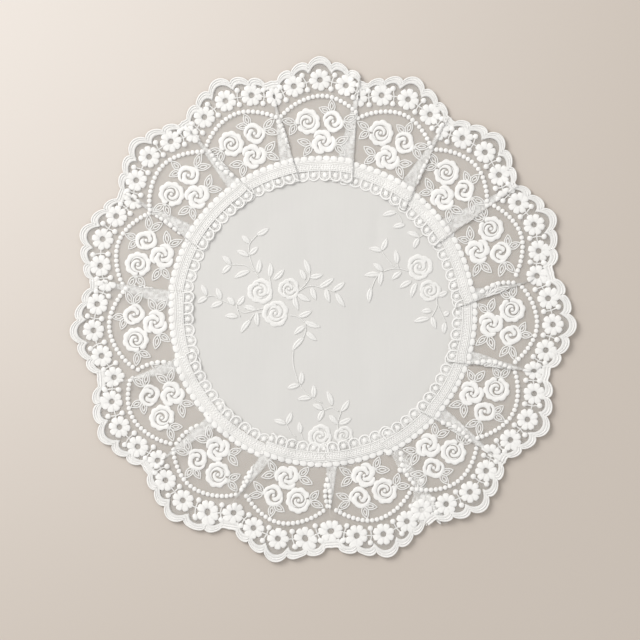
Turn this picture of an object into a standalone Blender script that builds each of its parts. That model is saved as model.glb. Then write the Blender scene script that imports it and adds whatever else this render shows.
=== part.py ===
"""Round table doily: a sheer centre cloth inside one knife-pleated strip of scalloped lace.

The lace edging is worked out in its own flat strip first: x runs along the strip and y runs
outwards, from the heading's rim.  The strip repeats once for each lobe.  A pleat at every
valley turns each repeat against the one before it, so that the strip goes round in a ring.
The strip's two ends lap over each other at one valley.  The origin is on the table, under
the middle of the ring, with +Z up.
"""

import math

import bmesh
import bpy
import numpy as np

MM = 0.001

# Sheets
SHEET = 1.0              # thickness of the cloth and of the lace
AIR = 0.3                # clear space between two layers
PITCH = SHEET + AIR

# Centre cloth
CLOTH_RADIUS = 83.5
CLOTH_SIDES = 72
CLOTH_CLEARANCE = 2.0    # sideways space between the cloth's edge and the lace that drops past it

# Flat lace strip
REPEAT = 57.5            # length of one repeat
HALF = REPEAT / 2
HEADING = 14.8           # depth of the woven heading, inside its rim
VALLEY_Y = 45.0          # lace's edge at a valley
HEADING_DROP = 5.5       # run over which the heading comes down off the cloth
EASE_HALF_WIDTH = 20.0   # each side of a lobe's middle, the heading is eased into a curve
EASE_DEPTH = 14.0        # and that ease dies out this far beyond the rim

# Scallops from a lobe's middle to the valley
SCALLOPS = (
    # start x, start y, end x, end y, rise, parts
    (-6.8, 53.5, 6.8, 53.5, 5.5, 4),
    (6.8, 53.5, 17.0, 49.6, 3.2, 3),
    (17.0, 49.6, 25.0, 45.5, 2.3, 2),
)

# Pleats
RAMP = 7.0               # run over which a lobe comes down from the top of a pleat
RAMP_CLEARANCE = 1.5     # from the hidden fold to the head of that ramp
FREE_APEX = 4.0          # next to its apex a pleat is eased away instead of folded
EASE_REACH = 8.0         # widest stretch over which it is eased
EASE_SHARE = 1.3         # and that stretch as a share of the distance from the apex
TURN_LENGTH = math.pi * PITCH / 2    # cloth in one U-turn
OPEN_FROM = math.radians(120)        # beyond this angle from the pleat, the edge spreads open
OPEN_NEAR = 16.0                     # that spreading dies out between these distances
OPEN_FAR = 28.0

# The strip's cut ends at the lap
START_LINE = ((-HEADING, -20.0), (VALLEY_Y, -38.5))                      # y, x
FINISH_LINE = ((-HEADING, 22.0), (2.0, 22.0), (9.0, 24.0), (19.0, 23.0),
               (25.0, 27.0), (31.0, 35.0), (39.0, 35.0), (VALLEY_Y, 32.0))

OVER_NEXT = 1            # this lobe's side of the pleat lies over the next lobe
UNDER_NEXT = -1
LAP = 0                  # the strip's last end, which only lies over its first

LOBES = (
    # bearing (degrees clockwise from +Y), rim radius, lean of the pleat after it, its order
    (164.5, 91.3, -4.4, OVER_NEXT),
    (191.0, 91.5, -12.5, OVER_NEXT),
    (216.5, 93.5, -4.4, OVER_NEXT),
    (240.5, 92.8, 0.0, OVER_NEXT),
    (265.5, 90.8, -6.0, OVER_NEXT),
    (288.5, 92.0, -0.3, UNDER_NEXT),
    (312.0, 92.8, 3.3, OVER_NEXT),
    (335.5, 92.8, -1.5, OVER_NEXT),
    (359.5, 92.8, 1.0, OVER_NEXT),
    (382.0, 91.2, 3.0, OVER_NEXT),
    (405.5, 90.4, -3.0, OVER_NEXT),
    (427.5, 91.0, 4.0, OVER_NEXT),
    (453.0, 92.0, 2.3, OVER_NEXT),
    (477.5, 92.3, 1.5, OVER_NEXT),
    (500.5, 92.8, 0.0, LAP),
)

# Mesh of the lace
INNER_ROWS = (-HEADING, -6.5, 0.5, 13.0)     # y of the rows that every lobe shares
MIDDLE_ROWS = (25.0, 33.0, 40.0)             # y of the other rows, at a lobe's middle
ROWS_BEFORE_APEX = (10.0, 6.0, 2.5)          # and at a pleat, how far inside its apex they are
LAP_ROWS = (20.0, 26.0, 32.0)                # and at the lap
APEX_LIMIT = VALLEY_Y - 0.5
ROW_BEND = 14.0                              # distance over which a row changes from one to the other
TURN_PARTS = 3                               # facets in one U-turn
RAMP_STEPS = (2, 5)                          # columns at the foot and the head of a ramp
SOLVE_STEPS = 40
SOLVE_STEP = 0.5
BEND_SAMPLES = 200
TINY = 1e-6
NORMAL_STEP = 1e-4
FLAT_ANGLE = 0.0005                          # faces closer than this to one plane are joined


def smooth(value):
    """Ease from 0 to 1."""
    value = np.clip(value, 0.0, 1.0)
    return value * value * (3.0 - 2.0 * value)


def turned(x, y, angle):
    """Turn a point anticlockwise about the origin."""
    return x * np.cos(angle) - y * np.sin(angle), x * np.sin(angle) + y * np.cos(angle)


class Place:
    """Where a lobe's own flat frame lies on the table."""

    def __init__(self, bearing, rim):
        self.angle = -math.radians(bearing)
        self.rim = rim

    def out(self, x, y):
        """Lobe frame to table."""
        return turned(x, y + self.rim, self.angle)

    def back(self, x, y):
        """Table to lobe frame."""
        x, y = turned(x, y, -self.angle)
        return x, y - self.rim


PLACES = [Place(row[0], row[1]) for row in LOBES]


class Pleat:
    """One knife pleat, worked out about the point where its two folds meet."""

    def __init__(self, index):
        self.before = PLACES[index]
        self.after = PLACES[(index + 1) % len(PLACES)]
        lean, self.order = LOBES[index][2:]
        self.lean = math.radians(lean)
        turn = (self.before.angle - self.after.angle) % (2 * math.pi)
        self.half_turn = turn / 2
        # The apex has the same place on the table from both lobes, at x and at x - REPEAT
        there = np.array(self.before.out(0.0, 0.0)) - np.array(self.after.out(-REPEAT, 0.0))
        along = np.array(turned(1.0, 0.0, self.before.angle)) - turned(1.0, 0.0, self.after.angle)
        outward = np.array(turned(0.0, 1.0, self.before.angle)) - turned(0.0, 1.0, self.after.angle)
        self.x, self.y = np.linalg.solve(np.column_stack((along, outward)), -there)
        self.apex = self.before.out(self.x, self.y)
        self.middle = self.before.angle - self.half_turn
        self.fold_y = self.y - FREE_APEX

    def section(self, width):
        """Bend, straight run, sideways travel and height of the fold for a pleat's width."""
        bend = np.linspace(0.0, math.pi, BEND_SAMPLES)
        taken = np.append(0.0, 1.0 - np.sin(bend[1:]) / bend[1:])
        angle = np.interp(width / TURN_LENGTH, taken, bend)
        angle = np.maximum(angle, TINY)
        run = np.maximum(width - TURN_LENGTH, 0.0)
        radius = TURN_LENGTH / angle
        travel = 2 * radius * np.sin(angle) + run * np.cos(angle)
        height = 2 * radius * (1 - np.cos(angle)) + run * np.sin(angle)
        return angle, run, radius, travel, height

    def folded(self, x, y):
        """Flat point, from the lobe before, to table x, y and the height above the bottom layer."""
        side = -1.0 if self.order == UNDER_NEXT else 1.0
        dx, dy = turned(x - self.x, y - self.y, -self.lean)
        distance = np.maximum(np.hypot(dx, dy), TINY)
        swing = np.arctan2(side * dx, -dy)
        width = np.zeros_like(distance)
        if self.order != LAP:
            width = self.half_turn * np.maximum(distance - FREE_APEX, 0.0)
        eased = self.half_turn * distance - width
        reach = np.minimum(EASE_REACH, EASE_SHARE * distance)
        cloth = distance * swing
        run_on = cloth + eased * (1.0 - 2.0 * smooth((cloth + reach) / (2 * reach)))
        angle, run, radius, travel, height = self.section(width)
        ends = TURN_LENGTH + run / 2
        place = np.abs(run_on)
        in_turn = np.clip((ends - place) / TURN_LENGTH, 0.0, 1.0) * angle
        in_run = np.clip(run / 2 - place, 0.0, None)
        sideways = travel / 2 - radius * np.sin(in_turn) - in_run * np.cos(angle)
        sideways = np.where(place > ends, travel / 2 + place - ends, sideways)
        drop = radius * (1 - np.cos(in_turn)) + in_run * np.sin(angle)
        side_of = np.where(run_on < 0, -1.0, 1.0)
        sideways = side_of * sideways
        rise = np.where(run_on < 0, height - drop, drop)
        head = -(np.maximum(run / 2 + PITCH / 2, np.abs(travel) / 2) + RAMP_CLEARANCE)
        down = smooth((head - sideways) / np.minimum(RAMP, distance))
        rise = np.where(run_on < -ends, height * (1.0 - down), rise)
        spread = smooth((np.abs(swing) - OPEN_FROM) / (math.pi - OPEN_FROM))
        spread = spread * (1.0 - smooth((distance - OPEN_NEAR) / (OPEN_FAR - OPEN_NEAR)))
        bearing = sideways / distance + np.where(swing > 0, 1.0, -1.0) * self.half_turn * spread
        if self.order == LAP:
            bearing = swing + np.where(x < self.x, 1.0, -1.0) * self.half_turn
        flat_x, flat_y = turned(distance * np.sin(bearing) * side, -distance * np.cos(bearing),
                                self.middle + self.lean)
        return self.apex[0] + flat_x, self.apex[1] + flat_y, rise


PLEATS = [Pleat(index) for index in range(len(LOBES))]


def eased_in(x, y):
    """Pull the heading's straight line into the ring's curve."""
    radius = LOBES[0][1]
    sagitta = np.minimum(np.abs(x), EASE_HALF_WIDTH) ** 2 / (2 * radius)
    return y - sagitta * (1.0 - smooth(y / EASE_DEPTH))


def lace_middle(cell, x, y):
    """Middle surface of the lace; cell -1 is the half lobe before the first pleat."""
    y = eased_in(np.where(x > HALF, x - REPEAT, x), y)
    if cell < 0:
        x, y = PLACES[0].out(x - REPEAT, y)
        rise = np.zeros_like(x)
    elif PLEATS[cell].order == LAP:
        x, y = PLACES[cell].out(x, y)
        under_x, under_y = PLACES[0].back(x, y)
        (y_in, x_in), (y_out, x_out) = START_LINE
        start = x_in + (under_y - y_in) * (x_out - x_in) / (y_out - y_in)
        rise = PITCH * smooth((under_x - start + RAMP_CLEARANCE + RAMP) / RAMP)
    else:
        x, y, rise = PLEATS[cell].folded(x, y)
    radius = np.hypot(x, y)
    on_cloth = 1.0 - smooth((radius - CLOTH_RADIUS - CLOTH_CLEARANCE) / HEADING_DROP)
    return np.stack((x, y, rise + SHEET / 2 + PITCH * on_cloth), axis=-1)


def scallop_points():
    """Edge points from a lobe's middle to the valley, along circular arcs."""
    points = []
    for x0, y0, x1, y1, rise, parts in SCALLOPS:
        chord = math.hypot(x1 - x0, y1 - y0)
        radius = (chord * chord / 4 + rise * rise) / (2 * rise)
        half = math.asin(min(1.0, chord / 2 / radius))
        lean = math.atan2(y1 - y0, x1 - x0)
        for step in range(parts + 1):
            angle = -half + 2 * half * step / parts
            along = radius * math.sin(angle)
            up = radius * (math.cos(angle) - math.cos(half))
            dx, dy = turned(along, up, lean)
            point = ((x0 + x1) / 2 + dx, (y0 + y1) / 2 + dy)
            if point[0] >= -TINY and (not points or point[0] > points[-1][0] + TINY):
                points.append(point)
    return points


EDGE = scallop_points()


def fold_columns(pleat, y, offsets):
    """Flat x on row y for places given along the fold, measured from its middle."""
    side = -1.0 if pleat.order == UNDER_NEXT else 1.0
    columns = []
    for offset in offsets:
        distance = pleat.y - y
        swing = 0.0
        for _ in range(SOLVE_STEPS):
            width = pleat.half_turn * max(distance - FREE_APEX, 0.0)
            eased = pleat.half_turn * distance - width
            reach = min(EASE_REACH, EASE_SHARE * distance)
            place = offset(pleat, width)
            cloth = place - eased * (1.0 - 2.0 * smooth((distance * swing + reach) / (2 * reach)))
            swing = (1.0 - SOLVE_STEP) * swing + SOLVE_STEP * cloth / distance
            distance = (pleat.y - y) / math.cos(side * swing + pleat.lean)
        columns.append(pleat.x + turned(side * distance * math.sin(swing),
                                        -distance * math.cos(swing), pleat.lean)[0])
    return columns


def turn_offset(turn_side, part):
    """Place of one facet line of a U-turn, on the side before or after the straight run."""
    def offset(pleat, width):
        run = pleat.section(width)[1]
        return turn_side * (run / 2 + TURN_LENGTH * part / TURN_PARTS)
    return offset


def ramp_offset(share):
    """Place of a ramp's head (0) or foot (1)."""
    def offset(pleat, width):
        run, travel = pleat.section(width)[1], pleat.section(width)[3]
        head = max(run / 2 + PITCH / 2, abs(travel) / 2) + RAMP_CLEARANCE
        return -(head + share * RAMP) - width
    return offset


FOLD_OFFSETS = ([turn_offset(-1.0, part) for part in range(TURN_PARTS, -1, -1)]
                + [turn_offset(1.0, part) for part in range(TURN_PARTS + 1)])


def half_columns(first, last, ramp):
    """Columns from a lobe's middle (first) to a fold (last), closer together on a ramp."""
    count = len(EDGE)
    if ramp is None:
        return [first + (last - first) * step / count for step in range(count)]
    foot, head = ramp
    low, high = RAMP_STEPS
    knots = [(0, first), (low, foot), (high, head), (count, last)]
    return list(np.interp(range(count), [step for step, _ in knots], [x for _, x in knots]))


def pleat_row(pleat, y):
    """Flat x of every column on a row that crosses a pleat."""
    folds = fold_columns(pleat, y, FOLD_OFFSETS)
    ramp = fold_columns(pleat, y, (ramp_offset(1.0), ramp_offset(0.0)))
    if pleat.order == UNDER_NEXT:
        folds = folds[::-1]
        left = half_columns(0.0, folds[0], None)
        right = half_columns(REPEAT, folds[-1], ramp)
    else:
        left = half_columns(0.0, folds[0], ramp)
        right = half_columns(REPEAT, folds[-1], None)
    return left + folds + right[::-1]


def edge_row(pleat):
    """Flat points of the scalloped edge, from one lobe's middle to the next."""
    left = list(EDGE)
    right = [(REPEAT - x, y) for x, y in reversed(EDGE)]
    count = len(FOLD_OFFSETS)
    if pleat.fold_y > VALLEY_Y:
        valley = [(x, VALLEY_Y) for x in pleat_row(pleat, VALLEY_Y)[len(left):len(left) + count]]
    else:
        gap = (right[0][0] - left[-1][0]) / (count + 1)
        valley = [(left[-1][0] + gap * (step + 1), VALLEY_Y) for step in range(count)]
    return left + valley + right


def row_points(columns, y_fold, y_middle):
    """A row's points: at y_fold by the pleat and at y_middle by the lobes' middles."""
    points = []
    for x in columns:
        from_middle = min(x, REPEAT - x)
        share = smooth(from_middle / ROW_BEND)
        points.append((x, y_middle + (y_fold - y_middle) * share))
    return points


def pleat_cell(cell):
    """Flat points of the lace from one lobe's middle to the next, row by row."""
    pleat = PLEATS[cell]
    apex = min(pleat.fold_y, APEX_LIMIT)
    rows = [row_points(pleat_row(pleat, y), y, y) for y in INNER_ROWS]
    for before, y_middle in zip(ROWS_BEFORE_APEX, MIDDLE_ROWS):
        rows.append(row_points(pleat_row(pleat, apex - before), apex - before, y_middle))
    rows.append(edge_row(pleat))
    return rows


def end_cell(line, sign):
    """Flat points from a lobe's middle to one of the strip's cut ends."""
    rows = []
    line_y = [y for y, _ in line]
    line_x = [x for _, x in line]
    rows_y = [(y, y) for y in INNER_ROWS] + list(zip(LAP_ROWS, MIDDLE_ROWS))
    count = len(EDGE) + 1
    for y_end, y_middle in rows_y:
        end = np.interp(y_end, line_y, line_x)
        columns = [end * step / count for step in range(count + 1)]
        rows.append([(x, y_middle + (y_end - y_middle) * step / count)
                     for step, x in enumerate(columns)])
    end = np.interp(VALLEY_Y, line_y, line_x)
    edge = [(sign * x, y) for x, y in EDGE]
    rows.append(edge + [((edge[-1][0] + end) / 2, VALLEY_Y), (end, VALLEY_Y)])
    return rows


def faces_of_lace(cell, rows):
    """Upper and lower points of one cell's rows."""
    flat = np.array(rows)
    x, y = flat[..., 0], flat[..., 1]
    if cell < 0:
        x = x + REPEAT
    step = NORMAL_STEP
    middle = lace_middle(cell, x, y)
    along = lace_middle(cell, x + step, y) - lace_middle(cell, x - step, y)
    outward = lace_middle(cell, x, y + step) - lace_middle(cell, x, y - step)
    normal = np.cross(along, outward)
    normal /= np.linalg.norm(normal, axis=-1, keepdims=True)
    return middle + normal * SHEET / 2, middle - normal * SHEET / 2


def fabric(name, colour, roughness):
    """Plain cloth material."""
    material = bpy.data.materials.new(name)
    material.use_nodes = True
    shader = material.node_tree.nodes["Principled BSDF"]
    shader.inputs["Base Color"].default_value = (*colour, 1.0)
    shader.inputs["Roughness"].default_value = roughness
    shader.inputs["Metallic"].default_value = 0.0
    return material


def add_object(name, bm, material):
    """Put a finished bmesh into the scene."""
    mesh = bpy.data.meshes.new(name)
    bm.to_mesh(mesh)
    bm.free()
    mesh.materials.append(material)
    bpy.context.collection.objects.link(bpy.data.objects.new(name, mesh))


def make_centre_cloth(material):
    """Flat round cloth, its cut edge under the heading."""
    bm = bmesh.new()
    bmesh.ops.create_circle(bm, cap_ends=True, radius=CLOTH_RADIUS * MM, segments=CLOTH_SIDES)
    grown = bmesh.ops.extrude_face_region(bm, geom=bm.faces[:])
    top = [item for item in grown["geom"] if isinstance(item, bmesh.types.BMVert)]
    bmesh.ops.translate(bm, verts=top, vec=(0.0, 0.0, SHEET * MM))
    bmesh.ops.recalc_face_normals(bm, faces=bm.faces[:])
    add_object("centre_cloth", bm, material)


def make_lace_edging(material):
    """The whole pleated strip as one closed sheet."""
    start_rows = [row[::-1] for row in end_cell(START_LINE, -1.0)]
    cells = [(-1, start_rows)]
    cells += [(cell, pleat_cell(cell)) for cell in range(len(LOBES) - 1)]
    cells.append((len(LOBES) - 1, end_cell(FINISH_LINE, 1.0)))
    upper, lower = [], []
    for cell, rows in cells:
        top, bottom = faces_of_lace(cell, rows)
        first = 0 if cell < 0 else 1
        upper.append(top[:, first:])
        lower.append(bottom[:, first:])
    upper, lower = np.concatenate(upper, axis=1), np.concatenate(lower, axis=1)
    bm = bmesh.new()
    tops = [[bm.verts.new(point * MM) for point in row] for row in upper]
    bottoms = [[bm.verts.new(point * MM) for point in row] for row in lower]
    row_count, column_count = upper.shape[:2]
    for i in range(row_count - 1):
        for j in range(column_count - 1):
            corners = ((i, j), (i, j + 1), (i + 1, j + 1), (i + 1, j))
            bm.faces.new([tops[a][b] for a, b in corners])
            bm.faces.new([bottoms[a][b] for a, b in reversed(corners)])
    rim = [(0, j) for j in range(column_count)]
    rim += [(i, column_count - 1) for i in range(1, row_count)]
    rim += [(row_count - 1, j) for j in range(column_count - 2, -1, -1)]
    rim += [(i, 0) for i in range(row_count - 2, 0, -1)]
    for (a, b), (c, d) in zip(rim, rim[1:] + rim[:1]):
        bm.faces.new((bottoms[a][b], bottoms[c][d], tops[c][d], tops[a][b]))
    bmesh.ops.dissolve_limit(bm, angle_limit=FLAT_ANGLE, verts=bm.verts[:], edges=bm.edges[:])
    bmesh.ops.triangulate(bm, faces=bm.faces[:])
    add_object("lace_edging", bm, material)


def main():
    for existing in list(bpy.data.objects):
        bpy.data.objects.remove(existing, do_unlink=True)
    make_centre_cloth(fabric("cloth", (0.76, 0.75, 0.73), 0.8))
    make_lace_edging(fabric("lace", (0.90, 0.89, 0.86), 0.65))


main()
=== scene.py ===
"""Round lace doily: a sheer embroidered centre inside a knife-pleated strip of net lace.

The lace is drawn once, flat, for one repeat of the strip, in millimetres: x runs along the
strip, y runs outwards from the heading's rim and z stands up from the net.  The repeat is
then copied along the strip, and every vertex is carried through the strip's pleats to its
place on the table.  The centre's embroidery is drawn in the doily's own frame.
"""

import logging
import math
from dataclasses import dataclass
from enum import Enum
from typing import ClassVar

import bpy
import numpy as np
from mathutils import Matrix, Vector


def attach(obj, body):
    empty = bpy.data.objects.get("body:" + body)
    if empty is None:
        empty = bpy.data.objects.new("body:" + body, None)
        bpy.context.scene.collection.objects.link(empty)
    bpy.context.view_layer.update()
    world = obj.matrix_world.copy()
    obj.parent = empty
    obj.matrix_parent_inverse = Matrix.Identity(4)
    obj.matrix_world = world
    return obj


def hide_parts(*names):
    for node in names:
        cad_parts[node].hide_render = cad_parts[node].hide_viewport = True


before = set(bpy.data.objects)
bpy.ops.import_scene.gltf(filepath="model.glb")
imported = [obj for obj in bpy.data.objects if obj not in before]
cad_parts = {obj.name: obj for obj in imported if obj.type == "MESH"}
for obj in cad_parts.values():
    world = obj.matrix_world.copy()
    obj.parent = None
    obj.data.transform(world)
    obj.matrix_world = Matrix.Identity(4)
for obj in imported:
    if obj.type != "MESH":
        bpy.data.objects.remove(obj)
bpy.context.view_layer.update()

MM = 0.001
RELIEF = 0.62                     # the stitches pressed flat, as a share of their drawn height
LOG = logging.getLogger("doily")
TINY = 1e-6                       # least distance, angle or width that counts
SPECK = 1e-12                     # least length of a direction before it is scaled to 1
PROBE = 0.001                     # how far to each side the net is read for its slope, in millimetres
BEND_SAMPLES = 200                # bends tried for the one that takes up a pleat's width
CRESCENT_STEP = 7.0               # degrees of a petal for each of its rows
CRESCENT_ROWS = 8                 # its fewest rows
CRESCENT_FULL = 1.2               # width from which a petal stands at its full height
CRESCENT_LEAST = 0.45             # share of that height left where it is thin
BUMP_ROUNDNESS = 0.7
DOME_ROWS = 7
DOME_END = 0.98                   # where its last row lies, as a share of half its length
DOME_FOOT = 0.3                   # share of its height that its ends keep

Measure = float | np.ndarray      # one value, or one for each point
Place = tuple[float, float]
Colour = tuple[float, float, float]


class Order(Enum):
    """How a lobe meets the next one along the strip."""

    OVER_NEXT = "over"
    UNDER_NEXT = "under"
    LAP = "lap"


class Profile(Enum):
    """Cross-section of a stitched line: (across, up) pairs for half width 1 and height 1."""

    PAD = ((-1.0, 0.0), (-0.96, 0.55), (-0.72, 0.92), (0.0, 1.0), (0.72, 0.92), (0.96, 0.55),
           (1.0, 0.0), (0.0, -0.15))
    VEINED = ((-1.0, 0.0), (-0.85, 0.6), (-0.5, 1.0), (-0.12, 0.72), (0.0, 0.5), (0.12, 0.72),
              (0.5, 1.0), (0.85, 0.6), (1.0, 0.0), (0.0, -0.15))
    THREAD = ((-1.0, 0.35), (-0.6, 0.9), (0.0, 1.0), (0.6, 0.9), (1.0, 0.35), (0.0, -0.1))
    CORD = ((-1.0, 0.4), (-0.8, 0.8), (-0.3, 1.0), (0.3, 1.0), (0.8, 0.8), (1.0, 0.4), (0.0, -0.1))


def smooth(value: Measure) -> Measure:
    """Ease from 0 to 1 as value goes from 0 to 1."""
    value = np.clip(value, 0.0, 1.0)
    return value * value * (3.0 - 2.0 * value)


def turned(x: Measure, y: Measure, angle: float) -> tuple[Measure, Measure]:
    """Turn points anticlockwise about the origin.

    Args:
        x: First coordinates.
        y: Second coordinates.
        angle: Turn in radians.

    Returns:
        The turned x and y.
    """
    return x * np.cos(angle) - y * np.sin(angle), x * np.sin(angle) + y * np.cos(angle)


# ---------------------------------------------------------------------------------------------
# The pleated strip
# ---------------------------------------------------------------------------------------------


@dataclass(frozen=True)
class Lobe:
    """One lobe of the edging: where it lies, and the pleat after it.

    Attributes:
        bearing: Degrees clockwise from +Y.
        rim: Distance of the heading's rim from the doily's middle.
        lean: Slant of the pleat after it, in degrees.
        order: Which side of that pleat is on top.
        lift: How far its scalloped edge would stand up if lift_share were 1.
    """

    bearing: float
    rim: float
    lean: float
    order: Order
    lift: float

    @property
    def angle(self) -> float:
        """Turn of the lobe's own frame, in radians."""
        return -math.radians(self.bearing)

    def out(self, x: Measure, y: Measure) -> tuple[Measure, Measure]:
        """Lobe frame to table."""
        return turned(x, y + self.rim, self.angle)

    def back(self, x: Measure, y: Measure) -> tuple[Measure, Measure]:
        """Table to lobe frame."""
        x, y = turned(x, y, -self.angle)
        return x, y - self.rim


LOBES = (
    Lobe(164.5, 91.3, -4.4, Order.OVER_NEXT, 1.9),
    Lobe(191.0, 91.5, -12.5, Order.OVER_NEXT, 2.4),
    Lobe(216.5, 93.5, -4.4, Order.OVER_NEXT, 1.6),
    Lobe(240.5, 92.8, 0.0, Order.OVER_NEXT, 1.2),
    Lobe(265.5, 90.8, -6.0, Order.OVER_NEXT, 1.7),
    Lobe(288.5, 92.0, -0.3, Order.UNDER_NEXT, 1.0),
    Lobe(312.0, 92.8, 3.3, Order.OVER_NEXT, 1.4),
    Lobe(335.5, 92.8, -1.5, Order.OVER_NEXT, 0.9),
    Lobe(359.5, 92.8, 1.0, Order.OVER_NEXT, 1.6),
    Lobe(382.0, 91.2, 3.0, Order.OVER_NEXT, 1.3),
    Lobe(405.5, 90.4, -3.0, Order.OVER_NEXT, 2.2),
    Lobe(427.5, 91.0, 4.0, Order.OVER_NEXT, 1.8),
    Lobe(453.0, 92.0, 2.3, Order.OVER_NEXT, 2.6),
    Lobe(477.5, 92.3, 1.5, Order.OVER_NEXT, 2.1),
    Lobe(500.5, 92.8, 0.0, Order.LAP, 2.7),
)


@dataclass(frozen=True)
class StripSizes:
    """Sizes of the flat lace and of the way it is laid, in millimetres."""

    repeat: float = 57.5
    heading_rim: float = 0.5      # where the net stops looking dense, outside the heading
    layer: float = 0.42           # from one layer of a pleat to the next
    bed: float = 0.36             # the net's height over the table
    cloth_edge: float = 85.5      # where the heading starts to come down off the centre cloth
    cloth_step: float = 0.42      # and how far it comes down
    drop: float = 5.5
    ramp: float = 7.0
    ramp_clearance: float = 1.5
    free_apex: float = 4.0        # round its apex a pleat takes nothing up
    ease_reach: float = 8.0       # over which the lace eases into a fold
    ease_share: float = 1.3       # and at most this share of the distance from the apex
    open_from: float = math.radians(120)
    open_near: float = 16.0
    open_far: float = 28.0
    ease_half_width: float = 20.0
    ease_depth: float = 14.0
    stack_past: float = 0.4       # how far the dense look goes on past a fold
    stack_blur: float = 1.2
    stack_width: float = 2.5      # width of a pleat that looks fully dense
    lap_blur: float = 2.0
    lift_share: float = 0.65      # how much of a lobe's lift its edge takes
    lift_from: float = 22.0
    lift_reach: float = 40.0
    loose_from: float = 2.0       # from here outwards the net lies loose
    loose_reach: float = 16.0
    loose_rise: float = 0.2
    ripple: float = 0.25
    ripple_along: float = 0.19
    ripple_start: float = 0.6
    ripple_outward: float = 0.11
    ripple_skew: float = 0.013

    @property
    def half(self) -> float:
        """Half a repeat."""
        return self.repeat / 2

    @property
    def turn(self) -> float:
        """Lace taken by one U-turn."""
        return math.pi * self.layer / 2


class Pleat:
    """A knife pleat, worked out about the point where its two folds meet."""

    def __init__(self, sizes: StripSizes, before: Lobe, after: Lobe) -> None:
        """Find the apex that both lobes share.

        Args:
            sizes: The strip's sizes.
            before: Lobe before the pleat.
            after: Lobe after it.
        """
        self.sizes, self.before = sizes, before
        self.lean = math.radians(before.lean)
        self.half_turn = ((before.angle - after.angle) % (2 * math.pi)) / 2
        there = np.array(before.out(0.0, 0.0)) - np.array(after.out(-sizes.repeat, 0.0))
        along = np.array(turned(1.0, 0.0, before.angle)) - turned(1.0, 0.0, after.angle)
        outward = np.array(turned(0.0, 1.0, before.angle)) - turned(0.0, 1.0, after.angle)
        self.x, self.y = np.linalg.solve(np.column_stack((along, outward)), -there)
        self.apex = before.out(self.x, self.y)
        self.middle = before.angle - self.half_turn

    def section(self, width: np.ndarray) -> tuple[np.ndarray, ...]:
        """Shape of the fold for each pleat width.

        Args:
            width: How far the pleat overlaps itself.

        Returns:
            Bend of a U-turn, straight run, radius, sideways travel and height.
        """
        bend = np.linspace(0.0, math.pi, BEND_SAMPLES)
        taken = np.append(0.0, 1.0 - np.sin(bend[1:]) / bend[1:])
        angle = np.maximum(np.interp(width / self.sizes.turn, taken, bend), TINY)
        run = np.maximum(width - self.sizes.turn, 0.0)
        radius = self.sizes.turn / angle
        travel = 2 * radius * np.sin(angle) + run * np.cos(angle)
        height = 2 * radius * (1 - np.cos(angle)) + run * np.sin(angle)
        return angle, run, radius, travel, height

    def folded(self, x: np.ndarray, y: np.ndarray) -> tuple[np.ndarray, ...]:
        """Carry flat points through the pleat.

        Args:
            x: Along the strip, from the middle of the lobe before.
            y: Outwards from the heading's rim.

        Returns:
            Table x and y, the height above the pleat's lowest layer, and 1 where layers lie together.
        """
        sizes = self.sizes
        side = -1.0 if self.before.order is Order.UNDER_NEXT else 1.0
        dx, dy = turned(x - self.x, y - self.y, -self.lean)
        distance = np.maximum(np.hypot(dx, dy), TINY)
        swing = np.arctan2(side * dx, -dy)
        width = self.half_turn * np.maximum(distance - sizes.free_apex, 0.0)
        eased = self.half_turn * distance - width
        reach = np.minimum(sizes.ease_reach, sizes.ease_share * distance)
        cloth = distance * swing
        run_on = cloth + eased * (1.0 - 2.0 * smooth((cloth + reach) / (2 * reach)))
        angle, run, radius, travel, height = self.section(width)
        ends = sizes.turn + run / 2
        place = np.abs(run_on)
        in_turn = np.clip((ends - place) / sizes.turn, 0.0, 1.0) * angle
        in_run = np.clip(run / 2 - place, 0.0, None)
        sideways = travel / 2 - radius * np.sin(in_turn) - in_run * np.cos(angle)
        sideways = np.where(place > ends, travel / 2 + place - ends, sideways)
        drop = radius * (1 - np.cos(in_turn)) + in_run * np.sin(angle)
        sideways = np.where(run_on < 0, -1.0, 1.0) * sideways
        rise = np.where(run_on < 0, height - drop, drop)
        head = -(np.maximum(run / 2 + sizes.layer / 2, np.abs(travel) / 2) + sizes.ramp_clearance)
        down = smooth((head - sideways) / np.minimum(sizes.ramp, distance))
        rise = np.where(run_on < -ends, height * (1.0 - down), rise)
        spread = smooth((np.abs(swing) - sizes.open_from) / (math.pi - sizes.open_from))
        past_fold = np.abs(travel) / 2 + sizes.stack_past - np.abs(sideways)
        stack = smooth(past_fold / sizes.stack_blur) * smooth(width / sizes.stack_width)
        spread = spread * (1.0 - smooth((distance - sizes.open_near) / (sizes.open_far - sizes.open_near)))
        bearing = sideways / distance + np.where(swing > 0, 1.0, -1.0) * self.half_turn * spread
        out_x, out_y = turned(distance * np.sin(bearing) * side, -distance * np.cos(bearing),
                              self.middle + self.lean)
        return self.apex[0] + out_x, self.apex[1] + out_y, rise, stack


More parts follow.
